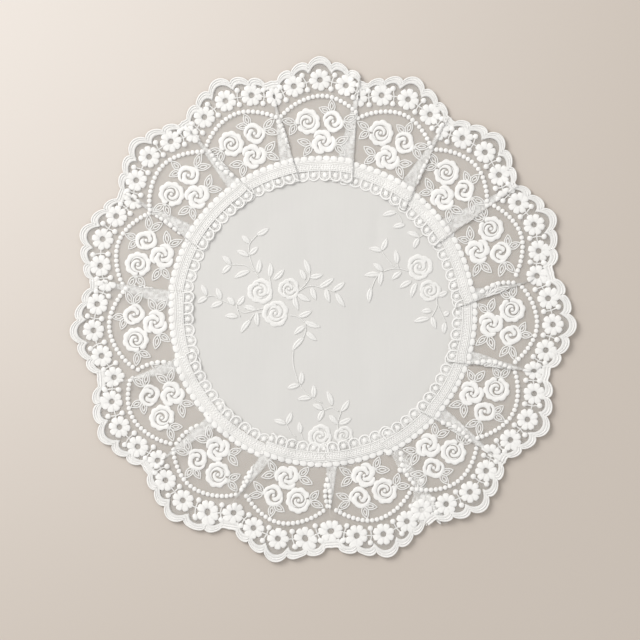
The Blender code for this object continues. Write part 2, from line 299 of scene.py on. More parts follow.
class Strip:
    """The laid strip: carries flat lace points to the table.

    Its two cut ends are lines of (y, x) pairs, with x from the end lobe's middle.
    """

    START_LINE: ClassVar = ((-14.8, -20.0), (45.0, -38.5))
    FINISH_LINE: ClassVar = ((-14.8, 22.0), (2.0, 22.0), (9.0, 24.0), (19.0, 23.0),
                             (25.0, 27.0), (31.0, 35.0), (39.0, 35.0), (45.0, 32.0))

    def __init__(self, sizes: StripSizes) -> None:
        """Work out every pleat.

        Args:
            sizes: The strip's sizes.
        """
        self.sizes = sizes
        self.pleats = [Pleat(sizes, before, after) for before, after in zip(LOBES, LOBES[1:])]

    @property
    def last(self) -> float:
        """Flat x of the last lobe's middle; the first lobe's is 0."""
        return self.sizes.repeat * (len(LOBES) - 1)

    def ends(self, y: Measure) -> tuple[Measure, Measure]:
        """Flat x of the two cut ends at a distance from the heading's rim."""
        return (np.interp(y, *zip(*self.START_LINE)),
                self.last + np.interp(y, *zip(*self.FINISH_LINE)))

    def keeps(self, x: float, y: float) -> bool:
        """Whether a flat point lies inside the strip's two cut ends."""
        start, finish = self.ends(y)
        return start <= x <= finish

    def eased_in(self, x: np.ndarray, y: np.ndarray) -> np.ndarray:
        """Pull the heading's straight line into the ring's curve.

        Args:
            x: Along the strip, from the nearest lobe's middle.
            y: Outwards from the heading's rim.

        Returns:
            The new y.
        """
        sizes = self.sizes
        sagitta = np.minimum(np.abs(x), sizes.ease_half_width) ** 2 / (2 * LOBES[0].rim)
        return y - sagitta * (1.0 - smooth(y / sizes.ease_depth))

    def surface(self, s: np.ndarray, y: np.ndarray) -> np.ndarray:
        """Net surface on the table.

        Args:
            s: Flat distance along the strip from the first lobe's middle.
            y: Flat distance outwards from the heading's rim.

        Returns:
            Table points in millimetres and, last, 1 where layers of a pleat lie together.
        """
        sizes = self.sizes
        repeat = sizes.repeat
        cell = np.clip(np.floor(s / repeat).astype(int), -1, len(LOBES) - 1)
        out = np.zeros((len(s), 4))
        for index in np.unique(cell):
            rows = cell == index
            x = s[rows] - index * repeat
            near = np.where(x > sizes.half, x - repeat, x)
            flat_y = self.eased_in(near, y[rows])
            if index < 0:
                tx, ty = LOBES[0].out(x - repeat, flat_y)
                rise = stack = np.zeros_like(tx)
            elif index == len(LOBES) - 1:
                tx, ty = LOBES[index].out(x, flat_y)
                under_x, under_y = LOBES[0].back(tx, ty)
                inside = under_x - self.ends(under_y)[0]
                stack = smooth(inside / sizes.lap_blur)
                rise = sizes.layer * smooth((inside + sizes.ramp_clearance + sizes.ramp) / sizes.ramp)
            else:
                tx, ty, rise, stack = self.pleats[index].folded(x, flat_y)
            out[rows] = np.column_stack((tx, ty, rise, stack))
        radius = np.hypot(out[:, 0], out[:, 1])
        on_cloth = 1.0 - smooth((radius - sizes.cloth_edge) / sizes.drop)
        out[:, 2] += sizes.bed + sizes.cloth_step * on_cloth + self.lift(s, y)
        return out

    def lift(self, s: np.ndarray, y: np.ndarray) -> np.ndarray:
        """How far the lace stands off the table towards its scalloped edge.

        Args:
            s: Flat distance along the strip.
            y: Flat distance outwards from the heading's rim.

        Returns:
            The rise, in millimetres.
        """
        sizes = self.sizes
        knots = np.arange(-1, len(LOBES) + 1) * sizes.repeat
        lifts = np.array([LOBES[0].lift] + [lobe.lift for lobe in LOBES] + [LOBES[-1].lift])
        raised = smooth((y - sizes.lift_from) / sizes.lift_reach) * np.interp(s, knots, lifts)
        ripple = (sizes.ripple * np.sin(s * sizes.ripple_along + sizes.ripple_start)
                  * np.sin(y * sizes.ripple_outward + s * sizes.ripple_skew))
        loose = smooth((y - sizes.loose_from) / sizes.loose_reach)
        return sizes.lift_share * raised + (ripple + sizes.loose_rise) * loose

    def place(self, points: np.ndarray) -> np.ndarray:
        """Carry flat lace points, with their height over the net, to the table.

        Args:
            points: Rows of s, y and height, in millimetres.

        Returns:
            Rows of table coordinates, in metres.
        """
        s, y, up = points.T
        along = (self.surface(s + PROBE, y) - self.surface(s - PROBE, y))[:, :3]
        outward = (self.surface(s, y + PROBE) - self.surface(s, y - PROBE))[:, :3]
        normal = np.cross(along, outward)
        normal /= np.maximum(np.linalg.norm(normal, axis=1, keepdims=True), SPECK)
        return (self.surface(s, y)[:, :3] + normal * up[:, None] * RELIEF) * MM

    def stacked(self, points: np.ndarray) -> np.ndarray:
        """Where the lace is dense: 1 in a pleat's layers and under the heading, else 0. The net is painted
        white where this is 1 and grey, as painted shade, where it is 0; under the heading that paints light
        into the shade of the cells.
        """
        under_heading = smooth(self.sizes.heading_rim - points[:, 1])
        return np.maximum(self.surface(points[:, 0], points[:, 1])[:, 3], under_heading)


# ---------------------------------------------------------------------------------------------
# Meshes drawn flat
# ---------------------------------------------------------------------------------------------


@dataclass
class Patch:
    """A mesh that is drawn flat.

    Attributes:
        co: Its points.
        faces: Four corners a row; a triangle's row ends in -1.
        lay: Each point's place along and across the threads, in millimetres.
    """

    co: np.ndarray
    faces: np.ndarray
    lay: np.ndarray

    def moved(self, dx: float = 0.0, dy: float = 0.0, up: float = 0.0) -> "Patch":
        """A copy, shifted."""
        return Patch(self.co + np.array((dx, dy, up)), self.faces, self.lay)

    def turned_by(self, angle: float) -> "Patch":
        """A copy, turned anticlockwise about (0, 0)."""
        x, y = turned(self.co[:, 0], self.co[:, 1], angle)
        return Patch(np.column_stack((x, y, self.co[:, 2])), self.faces, self.lay)


def band(left: np.ndarray, right: np.ndarray, height: Measure, profile: Profile,
         closed: bool = False, slant: float = 0.0, base: float = 0.0) -> Patch:
    """Raised stitching between two edges, with closed ends.

    Args:
        left: Rows of x and y along its left edge, looking along it.
        right: The same along its right edge.
        height: Height, for the whole of it or for each row.
        profile: Cross-section.
        closed: Whether it runs round to its start.
        slant: How far the stitches lean, as extra distance along for each across.
        base: Height of its foot over the net.

    Returns:
        The stitching as a patch.
    """
    count = len(left)
    height = np.broadcast_to(np.asarray(height, dtype=float), (count,))
    across, up = np.array(profile.value).T
    middle, arm = (left + right) / 2, (left - right) / 2
    half = np.linalg.norm(arm, axis=1)
    steps = np.linalg.norm(np.diff(middle, axis=0), axis=1)
    along = np.append(0.0, np.cumsum(steps))
    offset = half[:, None] * across[None, :]
    xy = middle[:, None, :] + arm[:, None, :] * across[None, :, None]
    z = base + height[:, None] * up[None, :]
    co = np.concatenate((xy, z[..., None]), axis=2).reshape(-1, 3)
    lay = np.stack((along[:, None] + slant * np.abs(offset), offset), axis=2).reshape(-1, 2)
    sides = len(across)
    rows = count if closed else count - 1
    i, j = np.meshgrid(np.arange(rows), np.arange(sides), indexing="ij")
    nexti, nextj = (i + 1) % count, (j + 1) % sides
    quads = np.stack((i * sides + j, i * sides + nextj, nexti * sides + nextj, nexti * sides + j), axis=-1)
    faces = [quads.reshape(-1, 4)]
    if not closed:
        fan = np.arange(1, sides - 1)
        none = np.full_like(fan, -1)
        last = (count - 1) * sides
        faces.append(np.column_stack((np.zeros_like(fan), fan + 1, fan, none)))
        faces.append(np.column_stack((np.full_like(fan, last), last + fan, last + fan + 1, none)))
    return Patch(co, np.concatenate(faces), lay)


def ribbon(path: np.ndarray, half: Measure, height: Measure, profile: Profile,
           closed: bool = False, slant: float = 0.0, base: float = 0.0) -> Patch:
    """A raised stitched line with closed ends.

    Args:
        path: Rows of x and y, along its middle.
        half: Half width, for the whole line or for each point.
        height: Height, for the whole line or for each point.
        profile: Cross-section.
        closed: Whether the path runs round to its start.
        slant: How far the stitches lean, as extra distance along for each across.
        base: Height of its foot over the net.

    Returns:
        The line as a patch.
    """
    path = np.asarray(path, dtype=float)
    if closed:
        ahead, behind = np.roll(path, -1, axis=0), np.roll(path, 1, axis=0)
    else:
        ahead = np.vstack((path[1:], 2 * path[-1] - path[-2]))
        behind = np.vstack((2 * path[0] - path[1], path[:-1]))
    way = ahead - behind
    way /= np.maximum(np.linalg.norm(way, axis=1, keepdims=True), SPECK)
    half = np.broadcast_to(np.asarray(half, dtype=float), (len(path),))
    arm = np.column_stack((-way[:, 1], way[:, 0])) * half[:, None]
    return band(path + arm, path - arm, height, profile, closed, slant, base)


def line(points: tuple[Place, ...], step: float = 0.8) -> np.ndarray:
    """A smooth curve through a few points.

    Args:
        points: The points, in order.
        step: Spacing of the result.

    Returns:
        Rows of x and y along a Catmull-Rom curve.
    """
    pts = np.array(points, dtype=float)
    if len(pts) == 2:
        count = max(2, int(np.linalg.norm(pts[1] - pts[0]) / step) + 1)
        return pts[0] + (pts[1] - pts[0]) * np.linspace(0, 1, count)[:, None]
    padded = np.vstack((2 * pts[0] - pts[1], pts, 2 * pts[-1] - pts[-2]))
    out = []
    for a, b, c, d in zip(padded, padded[1:], padded[2:], padded[3:]):
        count = max(2, int(np.linalg.norm(c - b) / step) + 1)
        t = np.linspace(0, 1, count, endpoint=False)[:, None]
        out.append(0.5 * (2 * b + (c - a) * t + (2 * a - 5 * b + 4 * c - d) * t ** 2
                          + (3 * b - a - 3 * c + d) * t ** 3))
    out.append(pts[-1:])
    return np.vstack(out)


def crescent(start: float, sweep: float, inner: tuple[float, ...], outer: tuple[float, ...],
             height: float = 0.8, bumps: int = 0, bump: float = 0.0) -> Patch:
    """A petal that curls round the middle of its rose.

    Args:
        start: Angle where it begins, in degrees anticlockwise.
        sweep: Angle it covers.
        inner: Distances of its inner edge from the rose's middle, evenly spaced along it.
        outer: Distances of its outer edge, likewise.
        height: How far it stands off the net.
        bumps: Number of rounded bumps along its outer edge.
        bump: Height of a bump.

    Returns:
        The petal, round (0, 0).
    """
    share = np.linspace(0.0, 1.0, max(CRESCENT_ROWS, int(abs(sweep) / CRESCENT_STEP)))
    near, far = (eased(share, values) for values in (inner, outer))
    far = far + bump * (np.abs(np.sin(math.pi * bumps * share)) ** BUMP_ROUNDNESS - 0.5)
    angle = np.radians(start + sweep * share)
    ray = np.column_stack((np.cos(angle), np.sin(angle)))
    tall = height * np.clip((far - near) / CRESCENT_FULL, CRESCENT_LEAST, 1.0)
    return band(ray * near[:, None], ray * far[:, None], tall, Profile.PAD)


def eased(share: np.ndarray, values: tuple[float, ...]) -> np.ndarray:
    """Smooth curve through evenly spaced values, read at shares from 0 to 1."""
    knots = list(zip(np.linspace(0.0, 1.0, len(values)), values))
    return np.interp(share, *line(knots, step=0.03).T)


def dome(x: float, y: float, width: float, length: float, height: float, turn: float = 0.0) -> Patch:
    """A small satin dot.

    Args:
        x: Middle.
        y: Middle.
        width: Full width.
        length: Full length.
        height: Full height.
        turn: Turn of its length, in degrees anticlockwise.

    Returns:
        The dot.
    """
    share = np.linspace(-DOME_END, DOME_END, DOME_ROWS)
    ray = np.array((math.cos(math.radians(turn)), math.sin(math.radians(turn))))
    path = np.array((x, y)) + np.outer(share * length / 2, ray)
    bulge = np.sqrt(1.0 - share ** 2)
    tall = height * (DOME_FOOT + (1.0 - DOME_FOOT) * bulge)
    return ribbon(path, width / 2 * bulge, tall, Profile.PAD)


# ---------------------------------------------------------------------------------------------
# Node trees
# ---------------------------------------------------------------------------------------------


class Graph:
    """A node tree that is built node by node."""

    def __init__(self, tree: bpy.types.NodeTree) -> None:
        """Keep the tree."""
        self.tree = tree

    def node(self, kind: str, *values: object, **named: object) -> bpy.types.Node:
        """Add a node.

        Args:
            kind: Node type.
            values: Values or sockets for its first inputs, None to leave one alone.
            named: Values or sockets by input name, with _ for a space; settings start with at_.

        Returns:
            The node.
        """
        node = self.tree.nodes.new(kind)
        for key, value in named.items():
            if key.startswith("at_"):
                setattr(node, key[3:], value)
        for socket, value in zip(node.inputs, values):
            self.plug(socket, value)
        self.feed(node, **{key: value for key, value in named.items() if not key.startswith("at_")})
        return node

    def plug(self, socket: bpy.types.NodeSocket, value: object) -> None:
        """Link or set an input.

        Args:
            socket: The input.
            value: A socket to link, a value to set, or None to leave it alone.
        """
        if isinstance(value, bpy.types.NodeSocket):
            self.tree.links.new(value, socket)
        elif value is not None:
            socket.default_value = value

    def feed(self, node: bpy.types.Node, **named: object) -> None:
        """Link or set a node's inputs by name, with _ for a space."""
        for key, value in named.items():
            self.plug(node.inputs[key.replace("_", " ")], value)

    def math(self, operation: str, *values: object) -> bpy.types.NodeSocket:
        """Add a Math node and return its result."""
        return self.node("ShaderNodeMath", *values, at_operation=operation).outputs[0]

    def vector(self, operation: str, *values: object, output: str = "Vector") -> bpy.types.NodeSocket:
        """Add a Vector Math node and return its result."""
        return self.node("ShaderNodeVectorMath", *values, at_operation=operation).outputs[output]

    def noise(self, place: bpy.types.NodeSocket, scale: float, detail: float,
              flat: bool = True) -> bpy.types.Node:
        """Add a Noise Texture node.

        Args:
            place: Where it is read.
            scale: Its scale.
            detail: Its detail.
            flat: Whether it is read in two dimensions.

        Returns:
            The node.
        """
        return self.node("ShaderNodeTexNoise", at_noise_dimensions="2D" if flat else "3D",
                         Vector=place, Scale=scale, Detail=detail)

    def blend(self, share: object, low: object, high: object, mode: str = "MIX") -> bpy.types.NodeSocket:
        """Mix two colours.

        Args:
            share: How far from the first to the second.
            low: First colour, or a socket.
            high: Second colour, or a socket.
            mode: How they are mixed.

        Returns:
            The mixed colour.
        """
        node = self.node("ShaderNodeMix", share, at_data_type="RGBA", at_blend_type=mode)
        sockets = [socket for socket in node.inputs if socket.type == "RGBA"]
        for socket, colour in zip(sockets, (low, high)):
            self.plug(socket, (*colour, 1.0) if isinstance(colour, tuple) else colour)
        return next(socket for socket in node.outputs if socket.type == "RGBA")


class Shape(Graph):
    """A Geometry Nodes tree with named inputs."""

    def __init__(self, name: str) -> None:
        """Start the tree with its geometry in and out.

        Args:
            name: The tree's name.
        """
        super().__init__(bpy.data.node_groups.new(name, "GeometryNodeTree"))
        self.tree.interface.new_socket("Geometry", in_out="INPUT", socket_type="NodeSocketGeometry")
        self.tree.interface.new_socket("Geometry", in_out="OUTPUT", socket_type="NodeSocketGeometry")
        self.start = self.node("NodeGroupInput")
        self.end = self.node("NodeGroupOutput")
        self.keys: dict[str, str] = {}

    def number(self, name: str, value: float, kind: str = "NodeSocketFloat") -> bpy.types.NodeSocket:
        """Add a named input.

        Args:
            name: The input's name.
            value: What it is unless it is set.
            kind: Its type.

        Returns:
            Its socket inside the tree.
        """
        socket = self.tree.interface.new_socket(name, in_out="INPUT", socket_type=kind)
        socket.default_value = value
        self.keys[name] = socket.identifier
        return self.start.outputs[name]

    def finish(self, geometry: bpy.types.NodeSocket, material: bpy.types.Material) -> None:
        """Realize the instances, set their material and connect the output.

        Args:
            geometry: The socket to end with.
            material: The material of what the tree makes.
        """
        real = self.node("GeometryNodeRealizeInstances", geometry)
        dressed = self.node("GeometryNodeSetMaterial", Geometry=real.outputs[0], Material=material)
        self.tree.links.new(dressed.outputs[0], self.end.inputs[0])

    def run(self, source: bpy.types.Object, **values: float) -> Patch:
        """Evaluate the tree on a guide and take the result as a patch.

        Args:
            source: Object whose mesh goes in; it is removed afterwards.
            values: Inputs by name, with _ for a space.

        Returns:
            The realized geometry.
        """
        modifier = source.modifiers.new(self.tree.name, "NODES")
        modifier.node_group = self.tree
        for name, value in values.items():
            modifier[self.keys[name.replace("_", " ")]] = value
        bpy.context.view_layer.update()
        graph = bpy.context.evaluated_depsgraph_get()
        mesh = bpy.data.meshes.new_from_object(source.evaluated_get(graph))
        source.modifiers.remove(modifier)
        bpy.data.objects.remove(source, do_unlink=True)
        return patch_of(mesh)


class BeadRow(Shape):
    """Beads or stitches set side by side along a path."""

    def __init__(self, name: str, material: bpy.types.Material, segments: int, rings: int) -> None:
        """Build the tree.

        Args:
            name: The tree's name.
            material: The thread's material.
            segments: Sides of one bead, round.
            rings: Sides of one bead, from pole to pole.
        """
        super().__init__(name)
        self.points = segments * (rings - 1) + 2
        pitch = self.number("Pitch", 3.2)
        length = self.number("Length across", 2.5)
        width = self.number("Width along", 2.5)
        tall = self.number("Height", 1.2)
        path = self.node("GeometryNodeMeshToCurve", self.start.outputs["Geometry"]).outputs[0]
        spots = self.node("GeometryNodeCurveToPoints", at_mode="LENGTH", Curve=path, Length=pitch)
        bead = self.node("GeometryNodeMeshUVSphere", Segments=segments, Rings=rings, Radius=0.5)
        size = self.node("ShaderNodeCombineXYZ", length, width, tall).outputs[0]
        place = self.node("GeometryNodeInputPosition").outputs[0]
        lay = self.vector("MULTIPLY", place, size)
        marked = self.node("GeometryNodeStoreNamedAttribute", at_data_type="FLOAT_VECTOR", at_domain="POINT",
                           Geometry=bead.outputs["Mesh"], Name="lay", Value=lay)
        turn = self.node("FunctionNodeAlignRotationToVector", at_axis="Y", at_pivot_axis="Z",
                         Vector=spots.outputs["Tangent"])
        made = self.node("GeometryNodeInstanceOnPoints", Points=spots.outputs["Points"],
                         Instance=marked.outputs[0], Rotation=turn.outputs[0], Scale=size)
        self.finish(made.outputs[0], material)


class Whorl(Shape):
    """Copies of one petal turned about a flower's middle."""

    def __init__(self, material: bpy.types.Material) -> None:
        """Build the tree.

        Args:
            material: The petals' material.
        """
        super().__init__("whorl_of_petals")
        count = self.number("Count", 8, "NodeSocketInt")
        first = self.number("First angle", 0.0)
        spots = self.node("GeometryNodePoints", Count=count)
        index = self.node("GeometryNodeInputIndex").outputs[0]
        turn = self.math("MULTIPLY_ADD", self.math("DIVIDE", index, count), 2 * math.pi, first)
        angles = self.node("ShaderNodeCombineXYZ", 0.0, 0.0, turn).outputs[0]
        made = self.node("GeometryNodeInstanceOnPoints", Points=spots.outputs[0],
                         Instance=self.start.outputs["Geometry"], Rotation=angles)
        self.finish(made.outputs[0], material)


def patch_of(mesh: bpy.types.Mesh) -> Patch:
    """Take a plain mesh's points and faces, with their place in the thread.

    Args:
        mesh: The mesh, which is removed.

    Returns:
        The patch.
    """
    co = np.empty(len(mesh.vertices) * 3)
    mesh.vertices.foreach_get("co", co)
    faces = np.full((len(mesh.polygons), 4), -1)
    for row, polygon in enumerate(mesh.polygons):
        faces[row, :polygon.loop_total] = polygon.vertices[:]
    lay = np.zeros((len(mesh.vertices), 3))
    if "lay" in mesh.attributes:
        flat = np.empty(lay.size)
        mesh.attributes["lay"].data.foreach_get("vector", flat)
        lay = flat.reshape(-1, 3)
    bpy.data.meshes.remove(mesh)
    return Patch(co.reshape(-1, 3), faces, lay[:, :2])


def wire(points: np.ndarray) -> bpy.types.Object:
    """A guide of edges along flat points.

    Args:
        points: Rows of x and y.

    Returns:
        The guide.
    """
    mesh = bpy.data.meshes.new("guide")
    mesh.from_pydata([(x, y, 0.0) for x, y in points], [(i, i + 1) for i in range(len(points) - 1)], [])
    return shown(bpy.data.objects.new("guide", mesh))


def shown(thing: bpy.types.Object) -> bpy.types.Object:
    """Put an object in the scene and return it."""
    bpy.context.scene.collection.objects.link(thing)
    return thing


def joined(patches: list[Patch]) -> Patch:
    """One patch of many.

    Args:
        patches: The patches, in order.

    Returns:
        All of them in one.
    """
    starts = np.cumsum([0] + [len(patch.co) for patch in patches])
    faces = [np.where(patch.faces < 0, -1, patch.faces + start) for patch, start in zip(patches, starts)]
    return Patch(np.vstack([patch.co for patch in patches]), np.vstack(faces),
                 np.vstack([patch.lay for patch in patches]))


def islands(patch: Patch, points: int) -> list[Patch]:
    """Split a patch of equal islands that follow one another.

    Args:
        patch: The patch.
        points: Points of one island.

    Returns:
        The single islands.
    """
    count = len(patch.co) // points
    blocks = zip(np.split(patch.co, count), np.split(patch.faces, count), np.split(patch.lay, count))
    return [Patch(co, np.where(faces < 0, -1, faces - index * points), lay)
            for index, (co, faces, lay) in enumerate(blocks)]


def mesh_of(name: str, patch: Patch) -> bpy.types.Mesh:
    """A smooth mesh with a UV map in millimetres of thread and the "lay" attribute.

    Args:
        name: The mesh's name.
        patch: Its points and faces.

    Returns:
        The mesh.
    """
    sides = np.where(patch.faces[:, 3] < 0, 3, 4)
    loops = patch.faces[patch.faces >= 0]
    mesh = bpy.data.meshes.new(name)
    mesh.vertices.add(len(patch.co))
    mesh.vertices.foreach_set("co", patch.co.ravel())
    mesh.loops.add(len(loops))
    mesh.loops.foreach_set("vertex_index", loops)
    mesh.polygons.add(len(sides))
    mesh.polygons.foreach_set("loop_start", np.append(0, np.cumsum(sides)[:-1]))
    mesh.update(calc_edges=True)
    mesh.uv_layers.new(name="UVMap")
    mesh.uv_layers["UVMap"].data.foreach_set("uv", patch.lay[loops].ravel())
    lay = mesh.attributes.new("lay", "FLOAT_VECTOR", "POINT")
    lay.data.foreach_set("vector", np.column_stack((patch.lay, np.zeros(len(patch.lay)))).ravel())
    mesh.shade_smooth()
    return mesh


# ---------------------------------------------------------------------------------------------
# Finishes
# ---------------------------------------------------------------------------------------------


@dataclass(frozen=True)
class Thread:
    """Bleached cotton in satin stitch: parallel threads that catch the light.

    Attributes:
        name: Material name.
        colour: Base colour.
        pitch: Width of one thread, in millimetres.
        bump: Strength of the threads' relief.
        relief: Its depth, in millimetres.
        fuzz: Scale of the fuzz, in patches a millimetre.
        fuzz_detail: Its finer layers.
        wander: How far the fuzz pushes a thread aside, in millimetres.
        fuzz_relief: Height of the fuzz against a thread's.
        shade: Brightness of a dark thread without fuzz.
        painted_groove_shade: Painted shade: how much each thread's crest is painted lighter and the groove
            beside it darker.
        fuzz_shade: What fuzz adds to it.
        roughness: Roughness.
        sheen: Weight of the cotton's sheen.
    """

    name: str
    colour: Colour
    pitch: float = 0.42
    bump: float = 0.55
    relief: float = 0.06
    fuzz: float = 1.2
    fuzz_detail: float = 3.0
    wander: float = 0.25
    fuzz_relief: float = 0.8
    shade: float = 0.90
    painted_groove_shade: float = 0.03
    fuzz_shade: float = 0.16
    roughness: float = 0.62
    sheen: float = 0.35

    def build(self) -> bpy.types.Material:
        """Make the finish.

        Returns:
            The material.
        """
        material, graph, shader = principled(self.name)
        lay = graph.node("ShaderNodeUVMap", at_uv_map="UVMap").outputs[0]
        fuzz = graph.noise(lay, self.fuzz, self.fuzz_detail).outputs["Fac"]
        along = graph.node("ShaderNodeSeparateXYZ", lay).outputs[0]
        wander = graph.math("MULTIPLY_ADD", fuzz, self.wander, along)
        wave = graph.math("SINE", graph.math("MULTIPLY", wander, 2 * math.pi / self.pitch))
        relief = graph.math("MULTIPLY_ADD", fuzz, self.fuzz_relief, wave)
        bump = graph.node("ShaderNodeBump", Strength=self.bump, Distance=self.relief * MM, Height=relief)
        # painted shade: lighter on each thread's crest, darker in the grooves between threads
        shade = graph.math("MULTIPLY_ADD", wave, self.painted_groove_shade, self.shade)
        shade = graph.math("MULTIPLY_ADD", fuzz, self.fuzz_shade, shade)
        colour = graph.blend(1.0, self.colour, shade, "MULTIPLY")
        graph.feed(shader, Base_Color=colour, Normal=bump.outputs[0], Roughness=self.roughness,
                   Sheen_Weight=self.sheen)
        return material


@dataclass(frozen=True)
class Tulle:
    """Fine six-sided net.

    Attributes:
        name: Material name.
        colour: Colour of its threads in a single layer, greyed as painted shade.
        dense_colour: And where layers lie together and under the heading: the threads' white, without that
            painted shade.
        pitch: From one hole to the next, in millimetres.
        thread: Share of a hole's width that the threads fill on each side.
        dense_thread: And where layers lie together.
        cloud: Patches in a millimetre of the uneven whiteness there.
        cloud_detail: Its finer layers.
        cloud_range: Noise from which a patch shows, and where it is full.
        cloud_least: Whiteness left between the patches.
        pull: How far the holes are pulled out of line, in millimetres.
        pull_scale: Patches in a millimetre of that pull.
        pull_detail: Its finer layers.
        shift: Moves the pattern so that no place is negative, in millimetres.
        roughness: Roughness.
    """

    name: str
    colour: Colour
    dense_colour: Colour = (0.95, 0.945, 0.932)
    pitch: float = 0.95
    thread: float = 0.115
    dense_thread: float = 0.18
    cloud: float = 0.45
    cloud_detail: float = 2.0
    cloud_range: tuple[float, float] = (0.38, 0.6)
    cloud_least: float = 0.35
    pull: float = 0.8
    pull_scale: float = 0.45
    pull_detail: float = 1.0
    shift: float = 900.0
    roughness: float = 0.75

    def build(self) -> bpy.types.Material:
        """Make the finish.

        Returns:
            The material.
        """
        material, graph, shader = principled(self.name)
        lay = graph.node("ShaderNodeUVMap", at_uv_map="UVMap").outputs[0]
        jitter = graph.noise(lay, self.pull_scale, self.pull_detail).outputs["Color"]
        pulled = graph.vector("MULTIPLY", jitter, (self.pull, self.pull, 0.0))
        spot = graph.vector("ADD", graph.vector("ADD", lay, (self.shift, self.shift, 0.0)), pulled)
        spot = graph.vector("DIVIDE", spot, (self.pitch, self.pitch, 1.0))
        depth = self.depth(graph, spot)
        dense_unshaded = graph.node("ShaderNodeAttribute", at_attribute_name="dense_unshaded").outputs["Fac"]
        wide = graph.math("MULTIPLY_ADD", dense_unshaded, self.thread - self.dense_thread, 0.5 - self.thread)
        alpha = graph.math("GREATER_THAN", depth, wide)
        cloud = graph.noise(lay, self.cloud, self.cloud_detail).outputs["Fac"]
        patchy = graph.node("ShaderNodeMapRange", cloud, *self.cloud_range, self.cloud_least, 1.0)
        # painted shade: a single layer of net is painted grey; stacked layers and the net under the heading
        # are painted white
        colour = graph.blend(graph.math("MULTIPLY", dense_unshaded, patchy.outputs[0]), self.colour,
                             self.dense_colour)
        graph.feed(shader, Base_Color=colour, Alpha=alpha, Roughness=self.roughness)
        return material

    def depth(self, graph: Graph, spot: bpy.types.NodeSocket) -> bpy.types.NodeSocket:
        """How far a spot lies from the middle of its hole, 0.5 on the threads.

        Args:
            graph: The material's nodes.
            spot: Place in the net, in holes.

        Returns:
            The depth.
        """
        tall = math.sqrt(3.0)
        tile, middle = (1.0, tall, 1.0), (0.5, tall / 2, 0.0)
        edges = []
        for start in (spot, graph.vector("SUBTRACT", spot, middle)):
            place = graph.vector("SUBTRACT", graph.vector("MODULO", start, tile), middle)
            flat = graph.vector("MULTIPLY", graph.vector("ABSOLUTE", place), (1.0, 1.0, 0.0))
            slanted = graph.vector("DOT_PRODUCT", flat, middle, output="Value")
            straight = graph.node("ShaderNodeSeparateXYZ", flat).outputs[0]
            edges.append(graph.math("MAXIMUM", straight, slanted))
        return graph.math("MINIMUM", *edges)


@dataclass(frozen=True)
class Voile:
    """Plain-woven semi-sheer cotton.

    Attributes:
        name: Material name.
        colour: Base colour.
        thin: Brightness of its thinnest places, as a share of that.
        count: Threads in a millimetre.
        cover: Opacity.
        cloud: Scale of its uneven weight, in patches a metre.
        cloud_detail: Its finer layers.
        slub: Scale of its thick threads, in patches a metre across them.
        slub_detail: Its finer layers.
        slub_run: The scale along them, as a share of that.
        slub_shade: How much of its shade comes from them.
        bump: Strength of the weave's relief.
        relief: Its depth, in millimetres.
        roughness: Roughness.
        sheen: Weight of the cotton's sheen.
    """

    name: str
    colour: Colour
    thin: float = 0.915
    count: float = 2.6
    cover: float = 0.93
    cloud: float = 22.0
    cloud_detail: float = 3.0
    slub: float = 900.0
    slub_detail: float = 2.0
    slub_run: float = 0.04
    slub_shade: float = 0.35
    bump: float = 0.25
    relief: float = 0.05
    roughness: float = 0.8
    sheen: float = 0.2

    def build(self) -> bpy.types.Material:
        """Make the finish.

        Returns:
            The material.
        """
        material, graph, shader = principled(self.name)
        place = graph.node("ShaderNodeTexCoord").outputs["Object"]
        cloud = graph.noise(place, self.cloud, self.cloud_detail, flat=False).outputs["Fac"]
        turns = 2 * math.pi * self.count / MM
        across, along, _ = graph.node("ShaderNodeSeparateXYZ", place).outputs
        warp = graph.math("SINE", graph.math("MULTIPLY", across, turns))
        weft = graph.math("SINE", graph.math("MULTIPLY", along, turns))
        weave = graph.math("MAXIMUM", warp, weft)
        streaks = graph.vector("MULTIPLY", place, (1.0, self.slub_run, 1.0))
        slub = graph.noise(streaks, self.slub, self.slub_detail, flat=False).outputs["Fac"]
        bump = graph.node("ShaderNodeBump", Strength=self.bump, Distance=self.relief * MM,
                          Height=graph.math("ADD", weave, slub))
        shade = graph.math("MULTIPLY_ADD", slub, self.slub_shade,
                           graph.math("MULTIPLY", cloud, 1.0 - self.slub_shade))
        thin = tuple(self.thin * channel for channel in self.colour)
        graph.feed(shader, Base_Color=graph.blend(shade, thin, self.colour), Normal=bump.outputs[0],
                   Alpha=self.cover, Roughness=self.roughness, Sheen_Weight=self.sheen)
        return material


